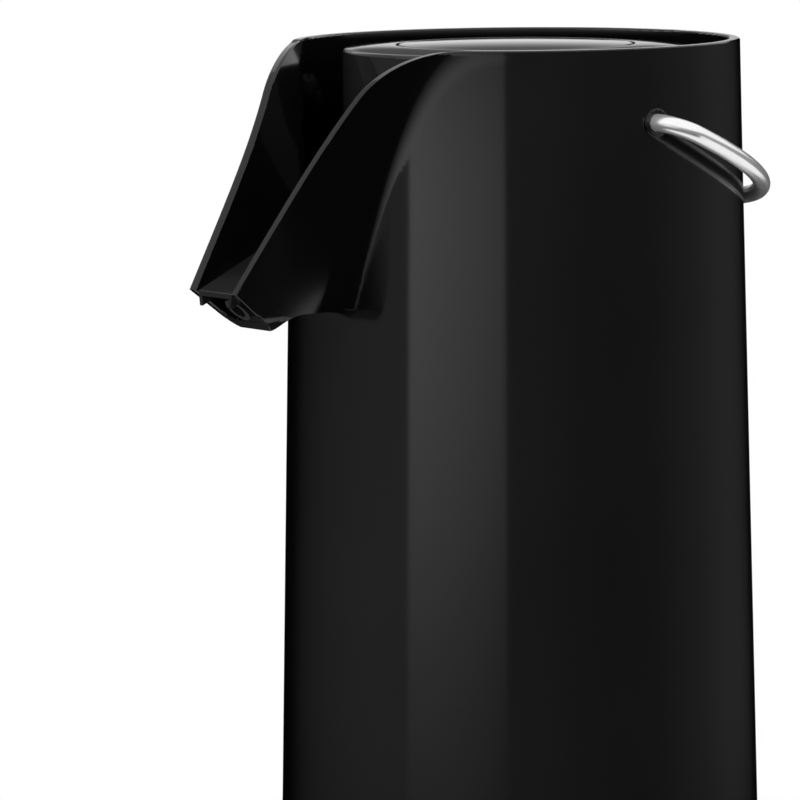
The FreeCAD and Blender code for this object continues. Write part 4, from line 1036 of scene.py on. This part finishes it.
class JUG_OT_pump_head(bpy.types.Operator):
    """Makes the pump head's cover, floor and screws, and dresses the plate, the seals and the air valve"""
    bl_idname = "jug.pump_head"
    bl_label = "Pump head"

    def cover(self, sizes):
        """Outline of the cover, with a gently crowned top between the button and its rounded edge."""
        guide_depth = 38 * MM
        guide_wall = 2.4 * MM
        guide_ease = 0.45 * MM
        guide_land = 0.5 * MM
        foot_ease = 0.4 * MM
        crown_bulge = 0.22 * MM
        crown_steps = 12
        top = node_top("pump_cover")
        foot = node_foot("pump_cover")
        edge = top - sizes.cover_fall
        bore = sizes.cover_radius - sizes.cover_wall
        guide = sizes.button_radius + sizes.button_gap
        under = edge - sizes.cover_wall
        crown_start = sizes.cover_radius - sizes.cover_ease
        crown_run = guide + guide_land - crown_start
        crown = []
        for step in range(1, crown_steps):
            share = step / crown_steps
            bulge = 4 * share * (1 - share) * crown_bulge
            crown.append((crown_start + crown_run * share, edge + sizes.cover_fall * share + bulge, 0.0))
        return eased([
            (bore, foot, 0.0),
            (sizes.cover_radius, foot, foot_ease),
            (sizes.cover_radius, edge, sizes.cover_ease),
            *crown,
            (guide, top, guide_ease),
            (guide, top - guide_depth, 0.0),
            (guide + guide_wall, top - guide_depth, 0.0),
            (guide + guide_wall, under, 0.0),
            (bore, under, 0.0),
        ], parts=8)

    def execute(self, context):
        sizes = context.scene.jug_pump
        shades = context.scene.jug_colours
        gloss = gloss_moulding("pump_gloss", shades.pump, roughness=0.05)
        cover = even_shading(turned("cover", self.cover(sizes), steps=256))
        settled("cover", cover, "pump_head", ["pump_cover"], gloss)
        grey = satin_moulding("pump_grey", shades.collar, roughness=0.36, grain=1400.0)
        floor = eased_copy("pump_base", width=0.4 * MM)
        settled("pump_floor", floor, "pump_head", ["pump_base"], grey)
        dressed(["bellows_plate"], grey)
        silicone = silicone_moulding("seal_silicone", shades.silicone)
        dressed(["plug_gasket", "air_valve", "pipe_seal"], silicone)
        zinc = plated_steel("pump_screw_zinc", shades.zinc)
        screw_ring("head_screws", "pump_head", "pump_screws", sizes.screws, first=math.pi / 4,
                   head_radius=3 * MM, head_height=1.8 * MM, shank_radius=1.5 * MM, zinc=zinc)
        return {"FINISHED"}


class JUG_OT_button(bpy.types.Operator):
    """Makes the domed push button and dresses the bellows' cap and the intake valve under it"""
    bl_idname = "jug.button"
    bl_label = "Button"

    def outline(self, sizes):
        """Outline of the button: a dome, a skirt with a flange at its foot, and a boss in the middle."""
        skin = 2.4 * MM
        skirt_wall = 2 * MM
        flange_height = 2 * MM
        flange_ease = 0.3 * MM
        boss = 14.4 * MM
        dome_steps = 14
        top = node_top("pump_cover")
        foot = node_foot("push_button")
        under = top - skin
        flange = node_reach("push_button")
        cap_top = node_top("bellows_cap")
        crown_edge = sizes.button_radius - sizes.button_ease
        dome = []
        for step in range(1, dome_steps + 1):
            share = step / dome_steps
            rise = sizes.button_rise * (1 - (1 - share) ** 2)
            dome.append((crown_edge * (1 - share), top + rise, 0.0))
        return eased([
            (0.0, under, 0.0),
            (boss - skin, under, 0.0),
            (boss - skin, cap_top, 0.0),
            (boss, cap_top, 0.0),
            (boss, under, 0.0),
            (sizes.button_radius - skirt_wall, under, 0.0),
            (sizes.button_radius - skirt_wall, foot, 0.0),
            (flange, foot, flange_ease),
            (flange, foot + flange_height, flange_ease),
            (sizes.button_radius, foot + flange_height, 0.0),
            (sizes.button_radius, top, sizes.button_ease),
            *dome,
        ], parts=8)

    def execute(self, context):
        shades = context.scene.jug_colours
        gloss = gloss_moulding("button_gloss", shades.pump, roughness=0.05)
        dome = even_shading(turned("button_dome", self.outline(context.scene.jug_pump), steps=256))
        settled("button_dome", dome, "button", ["push_button"], gloss)
        grey = satin_moulding("bellows_cap_grey", shades.collar, roughness=0.36, grain=1400.0)
        dressed(["bellows_cap"], grey)
        dressed(["intake_valve"], silicone_moulding("valve_silicone", shades.silicone))
        return {"FINISHED"}


class JUG_OT_bellows(bpy.types.Operator):
    """Makes the rubber bellows and the spring inside it"""
    bl_idname = "jug.bellows"
    bl_label = "Bellows and spring"

    def folds(self, sizes, foot, top):
        """Outline of the folded tube: rounded outer and inner creases, the same wall all the way."""
        root = 31.5 * MM
        skin = 1.2 * MM
        straight_end = 3 * MM
        depth = 4.4 * MM
        steps = 16 * sizes.bellows_folds
        inner = [(root, foot)]
        for step in range(steps + 1):
            share = step / steps
            wave = 0.5 - 0.5 * math.cos(FULL_TURN * sizes.bellows_folds * share)
            up = foot + straight_end + (top - foot - 2 * straight_end) * share
            inner.append((root + depth * wave, up))
        inner.append((root, top))
        return [(across + skin, up) for across, up in inner] + inner[::-1]

    def execute(self, context):
        sizes = context.scene.jug_pump
        shades = context.scene.jug_colours
        foot, top = node_foot("bellows"), node_top("bellows")
        travel = next(joint for joint in frame["joints"] if joint["name"] == "button_press")["range_m"][1]
        keep = (top - foot - travel) / (top - foot)
        rubber = rubber_moulding("bellows_rubber", shades.bellows, roughness=0.6, grain=1100.0,
                                 depth=0.02 * MM)
        folded = turned("bellows_tube", self.folds(sizes, foot, top), steps=128)
        tube = settled("bellows_tube", folded, "pump_head", ["bellows"], rubber)
        zinc = plated_steel("spring_zinc", shades.zinc)
        end_gap = 0.3 * MM
        room = sizes.wire_radius + end_gap
        wound = made_by_tree("coil_spring", bpy.data.meshes.new("coil_start"), coil_tree(zinc), {
            "Turns": float(sizes.spring_turns), "Radius": sizes.spring_radius, "Wire": sizes.wire_radius,
            "Foot": foot + room, "Rise": top - foot - 2 * room})
        spring = settled("coil_spring", shaded(wound, sharp=50), "pump_head", ["return_spring"],
                         zinc)
        for piece in (tube, spring):
            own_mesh(piece)
        return {"FINISHED"}


class JUG_OT_outlet(bpy.types.Operator):
    """Makes the spout cover and the nozzle, and dresses the tube, the ball and the pipe"""
    bl_idname = "jug.outlet"
    bl_label = "Outlet"

    def execute(self, context):
        shades = context.scene.jug_colours
        gloss = gloss_moulding("spout_cover_gloss", shades.pump, roughness=0.08)
        lid = eased_copy("spout_cover", width=0.35 * MM)
        settled("spout_lid", lid, "pump_head", ["spout_cover"], gloss)
        black = satin_moulding("nozzle_satin", tinted(shades.base, 0.3), roughness=0.55, grain=1600.0)
        ring = eased_copy("nozzle", width=0.2 * MM)
        settled("nozzle_ring", ring, "pump_head", ["nozzle"], black)
        natural = satin_moulding("pipe_natural", shades.pipe, roughness=0.3, grain=1500.0)
        dressed(["dip_tube"], natural)
        satin = satin_moulding("outlet_pipe_black", shades.base, roughness=0.4, grain=1500.0)
        dressed(["outlet_pipe"], satin)
        dressed(["tip_ball"], plated_steel("ball_steel", shades.steel))
        return {"FINISHED"}


class JUG_OT_stage(bpy.types.Operator):
    """Sets the pale floor, the studio round the jug, the lamps and the camera"""
    bl_idname = "jug.stage"
    bl_label = "Stage"

    def execute(self, context):
        studio = context.scene.jug_studio
        turn = studio.camera_turn
        self.right = Vector((-math.cos(turn), math.sin(turn), 0.0))
        self.away = Vector((-math.sin(turn), -math.cos(turn), 0.0))
        self.world(context)
        self.floor(context, studio)
        self.wall(studio)
        self.softbox(studio)
        self.card(studio)
        self.lamps()
        self.camera(context, studio)
        context.scene.view_settings.view_transform = "Standard"
        return {"FINISHED"}

    def toward(self, bearing):
        """The level direction at a bearing from the camera's side, positive to the right."""
        return self.right * math.sin(bearing) - self.away * math.cos(bearing)

    def seen(self, nodes):
        """1 for rays from the camera, off gloss or through glass, which show the white background."""
        path = nodes.node("ShaderNodeLightPath").outputs
        camera, gloss, clear = (Value(nodes, path[f"Is {kind} Ray"])
                                for kind in ("Camera", "Glossy", "Transmission"))
        return camera.larger(gloss).larger(clear)

    def world(self, context):
        """White where it is seen, and half as bright where it only lights."""
        world = bpy.data.worlds.new("studio")
        world.use_nodes = True
        nodes = Nodes(world.node_tree)
        world.node_tree.nodes.clear()
        shade = nodes.node("ShaderNodeMixRGB", {
            "Fac": self.seen(nodes), 1: (0.5, 0.5, 0.5, 1.0), 2: (1.0, 1.0, 1.0, 1.0)})
        light = nodes.node("ShaderNodeBackground", {"Color": shade.outputs[0], "Strength": 1.0})
        nodes.node("ShaderNodeOutputWorld", {"Surface": light.outputs[0]})
        context.scene.world = world

    def staged(self, name, corners, faces, material, glossy_only=True):
        """Adds a piece of the stage; one that is glossy_only shows in reflections and nowhere else."""
        mesh = bpy.data.meshes.new(name)
        mesh.from_pydata(corners, [], faces)
        mesh.materials.append(material)
        piece = linked(name, mesh)
        if glossy_only:
            for kind in ("camera", "diffuse", "transmission", "shadow", "volume_scatter"):
                setattr(piece, f"visible_{kind}", False)

    def floor(self, context, studio):
        """A pale round floor that keeps the shadow and fades into the white round it."""
        finish = Finish("pale_floor")
        shade = (*context.scene.jug_colours.floor, 1.0)
        reach = (finish.axis("X") ** 2.0 + finish.axis("Y") ** 2.0) ** 0.5
        matt = finish.node("ShaderNodeBsdfDiffuse", {"Color": shade, "Roughness": 0.8})
        shine = finish.glowing(finish.shades((0.0, 0.0, 0.0), (0.3, 0.3, 0.3), self.seen(finish)))
        lit = finish.node("ShaderNodeAddShader", {0: matt.outputs[0], 1: shine})
        clear = finish.node("ShaderNodeBsdfTransparent")
        fade = reach.between(0.45 * studio.floor_radius, 0.98 * studio.floor_radius)
        mixed = finish.node("ShaderNodeMixShader", {0: fade, 1: lit.outputs[0], 2: clear.outputs[0]})
        steps = 96
        rim = circle_points(studio.floor_radius, 0.0, steps)
        self.staged("floor", rim, [list(range(steps))], finish.ended(mixed.outputs[0]), glossy_only=False)

    def panel_light(self, name, strength):
        """The material of a studio panel, whose strength over its surface may go up to a brightest level."""
        finish = Finish(name)
        brightest = 2.0
        shade = finish.shades((0.0, 0.0, 0.0), (brightest,) * 3, strength(finish) * (1 / brightest))
        return finish.ended(finish.glowing(shade))

    def wall(self, studio):
        """The dim studio round the jug, by bearing in degrees from the camera's side, positive to the right.

        It is grey on the camera's side, lighter to the left, and black behind the jug and far down.
        High up on the left it is lighter again. It stands low, higher behind the jug, and highest on the
        left, over the beak's lips. On the right it is open below, where the bail mirrors the white.
        """
        def strength(finish):
            across = finish.axis("X") * self.right.x + finish.axis("Y") * self.right.y
            towards = finish.axis("X") * -self.away.x + finish.axis("Y") * -self.away.y
            bearing = across.math("ARCTAN2", across, towards) * (180 / math.pi)
            height = finish.axis("Z")
            left = bearing.between(-150.0, -62.0) * bearing.between(-20.0, -50.0)
            right = bearing.between(165.0, 108.0) * bearing.between(-40.0, -10.0)
            dip = bearing.between(95.0, 60.0) * bearing.between(5.0, 45.0)
            upper = height.between(0.6, 1.1) * bearing.between(-80.0, -95.0)
            lower_edge = height.between(-0.62, -0.32)
            return (0.3 * left + 0.17 * right - 0.05 * dip) * lower_edge + 0.42 * upper

        low, open_low = -3.4, -0.66
        side_top, back_top, lips_top = 0.55, 1.3, 3.2
        steps = 96
        corners = []
        for step in range(steps):
            bearing = 360 * step / steps - 180
            spot = self.toward(math.radians(bearing)) * studio.wall_radius
            bottom = open_low if 72 < bearing < 150 else low
            top = back_top if abs(bearing) > 140 else lips_top if -140 <= bearing < -88 else side_top
            corners += [(spot.x, spot.y, bottom), (spot.x, spot.y, top)]
        faces = []
        for step in range(steps):
            here, after = 2 * step, 2 * ((step + 1) % steps)
            faces.append([here, after, after + 1, here + 1])
        self.staged("studio_wall", corners, faces, self.panel_light("studio_grey", strength))

    def panel(self, name, bearing, distance, half_width, low, high, material):
        """An upright panel facing the jug, at a bearing from the camera's side, positive to the right."""
        middle = self.toward(bearing) * distance
        sideways = UP.cross(self.toward(bearing))
        corners = [middle + sideways * side + UP * up
                   for side, up in ((-half_width, low), (half_width, low),
                                    (half_width, high), (-half_width, high))]
        self.staged(name, corners, [[0, 1, 2, 3]], material)

    def softbox(self, studio):
        """The tall soft box left of the camera, brightest at its outer side, a little above its middle."""
        first, last = math.radians(-54.5), math.radians(-5.5)
        bearing = (first + last) / 2
        half_width = studio.softbox_distance * math.tan((last - first) / 2)
        sideways = UP.cross(self.toward(bearing))

        def strength(finish):
            place = (finish.axis("X") * sideways.x + finish.axis("Y") * sideways.y) / half_width
            height = finish.axis("Z")
            level = 0.72 - 0.21 * place
            upward = height.between(0.44, 0.24) * 0.7 + 0.3
            downward = height.between(-0.4, 0.26) * 0.8 + 0.2
            ends = height.between(-0.46, -0.34)
            return level * upward * downward * ends * 1.55

        self.panel("softbox", bearing, studio.softbox_distance, half_width, low=-0.5, high=0.75,
                   material=self.panel_light("softbox_light", strength))

    def card(self, studio):
        """The white card behind the jug, which the flat top mirrors at a low angle."""
        def strength(finish):
            return 0.12 + 0.86 * finish.axis("Z").between(0.60, 0.42)

        self.panel("back_card", math.pi, studio.card_distance, half_width=0.3, low=0.31, high=0.9,
                   material=self.panel_light("card_white", strength))

    def lamps(self):
        """A large soft key from above the camera's left and a softer fill from the right."""
        aim = UP * 0.2
        for name, place, size, power in (
                ("key", -self.away * 1.3 - self.right * 1.1 + UP * 1.7, 1.4, 26.0),
                ("fill", -self.away * 0.8 + self.right * 1.6 + UP * 1.2, 1.6, 10.0)):
            lamp = bpy.data.lights.new(name, "AREA")
            lamp.shape = "SQUARE"
            lamp.size = size
            lamp.energy = power
            holder = linked(name, lamp)
            holder.location = place
            holder.rotation_euler = (aim - place).to_track_quat("-Z", "Y").to_euler()
            holder.visible_glossy = False

    def camera(self, context, studio):
        """The camera, turned from the jug's axis by its yaw, then its pitch, then its roll."""
        yaw, pitch, roll = studio.camera_yaw, studio.camera_pitch, studio.camera_roll
        picture_width = 800
        level_right = self.right * math.cos(yaw) + self.away * math.sin(yaw)
        level_ahead = self.away * math.cos(yaw) - self.right * math.sin(yaw)
        ahead = level_ahead * math.cos(pitch) - UP * math.sin(pitch)
        rise = UP * math.cos(pitch) + level_ahead * math.sin(pitch)
        side = level_right * math.cos(roll) + rise * math.sin(roll)
        top = rise * math.cos(roll) - level_right * math.sin(roll)
        lens = bpy.data.cameras.new("camera")
        lens.sensor_width = 36.0
        lens.lens = studio.focal_pixels / picture_width * lens.sensor_width
        lens.clip_start, lens.clip_end = 0.05, 60.0
        holder = linked("camera", lens)
        place = -self.away * studio.camera_distance + UP * studio.camera_height
        turned_to = Matrix((side, top, -ahead)).transposed().to_4x4()
        holder.matrix_world = Matrix.Translation(place) @ turned_to
        context.scene.camera = holder


OPERATORS = (JUG_OT_stage, JUG_OT_shell, JUG_OT_base, JUG_OT_flask, JUG_OT_bail, JUG_OT_pump_head,
             JUG_OT_button, JUG_OT_bellows, JUG_OT_outlet)


class JUG_PT_panel(bpy.types.Panel):
    """Lists the jug's operators in the sidebar"""
    bl_idname = "JUG_PT_panel"
    bl_label = "Pump thermal jug"
    bl_space_type = "VIEW_3D"
    bl_region_type = "UI"
    bl_category = "Jug"

    def draw(self, context):
        for operator in OPERATORS:
            self.layout.operator(operator.bl_idname)


GROUPS = {"jug_shell": ShellSizes, "jug_bail": BailSizes, "jug_pump": PumpSizes, "jug_colours": JugColours,
          "jug_studio": StudioSizes}


def register():
    for name, group in GROUPS.items():
        bpy.utils.register_class(group)
        setattr(bpy.types.Scene, name, PointerProperty(type=group))
    for shown in (*OPERATORS, JUG_PT_panel):
        bpy.utils.register_class(shown)


def unregister():
    for shown in reversed((*OPERATORS, JUG_PT_panel)):
        bpy.utils.unregister_class(shown)
    for name, group in GROUPS.items():
        delattr(bpy.types.Scene, name)
        bpy.utils.unregister_class(group)


def main():
    register()
    for name in list(bpy.data.objects.keys()):
        if name in ("Cube", "Light", "Camera"):
            bpy.data.objects.remove(bpy.data.objects[name])
    bpy.ops.jug.stage()
    bpy.ops.jug.shell()
    bpy.ops.jug.base()
    bpy.ops.jug.flask()
    bpy.ops.jug.bail()
    bpy.ops.jug.pump_head()
    bpy.ops.jug.button()
    bpy.ops.jug.bellows()
    bpy.ops.jug.outlet()


if __name__ == "__main__":
    main()
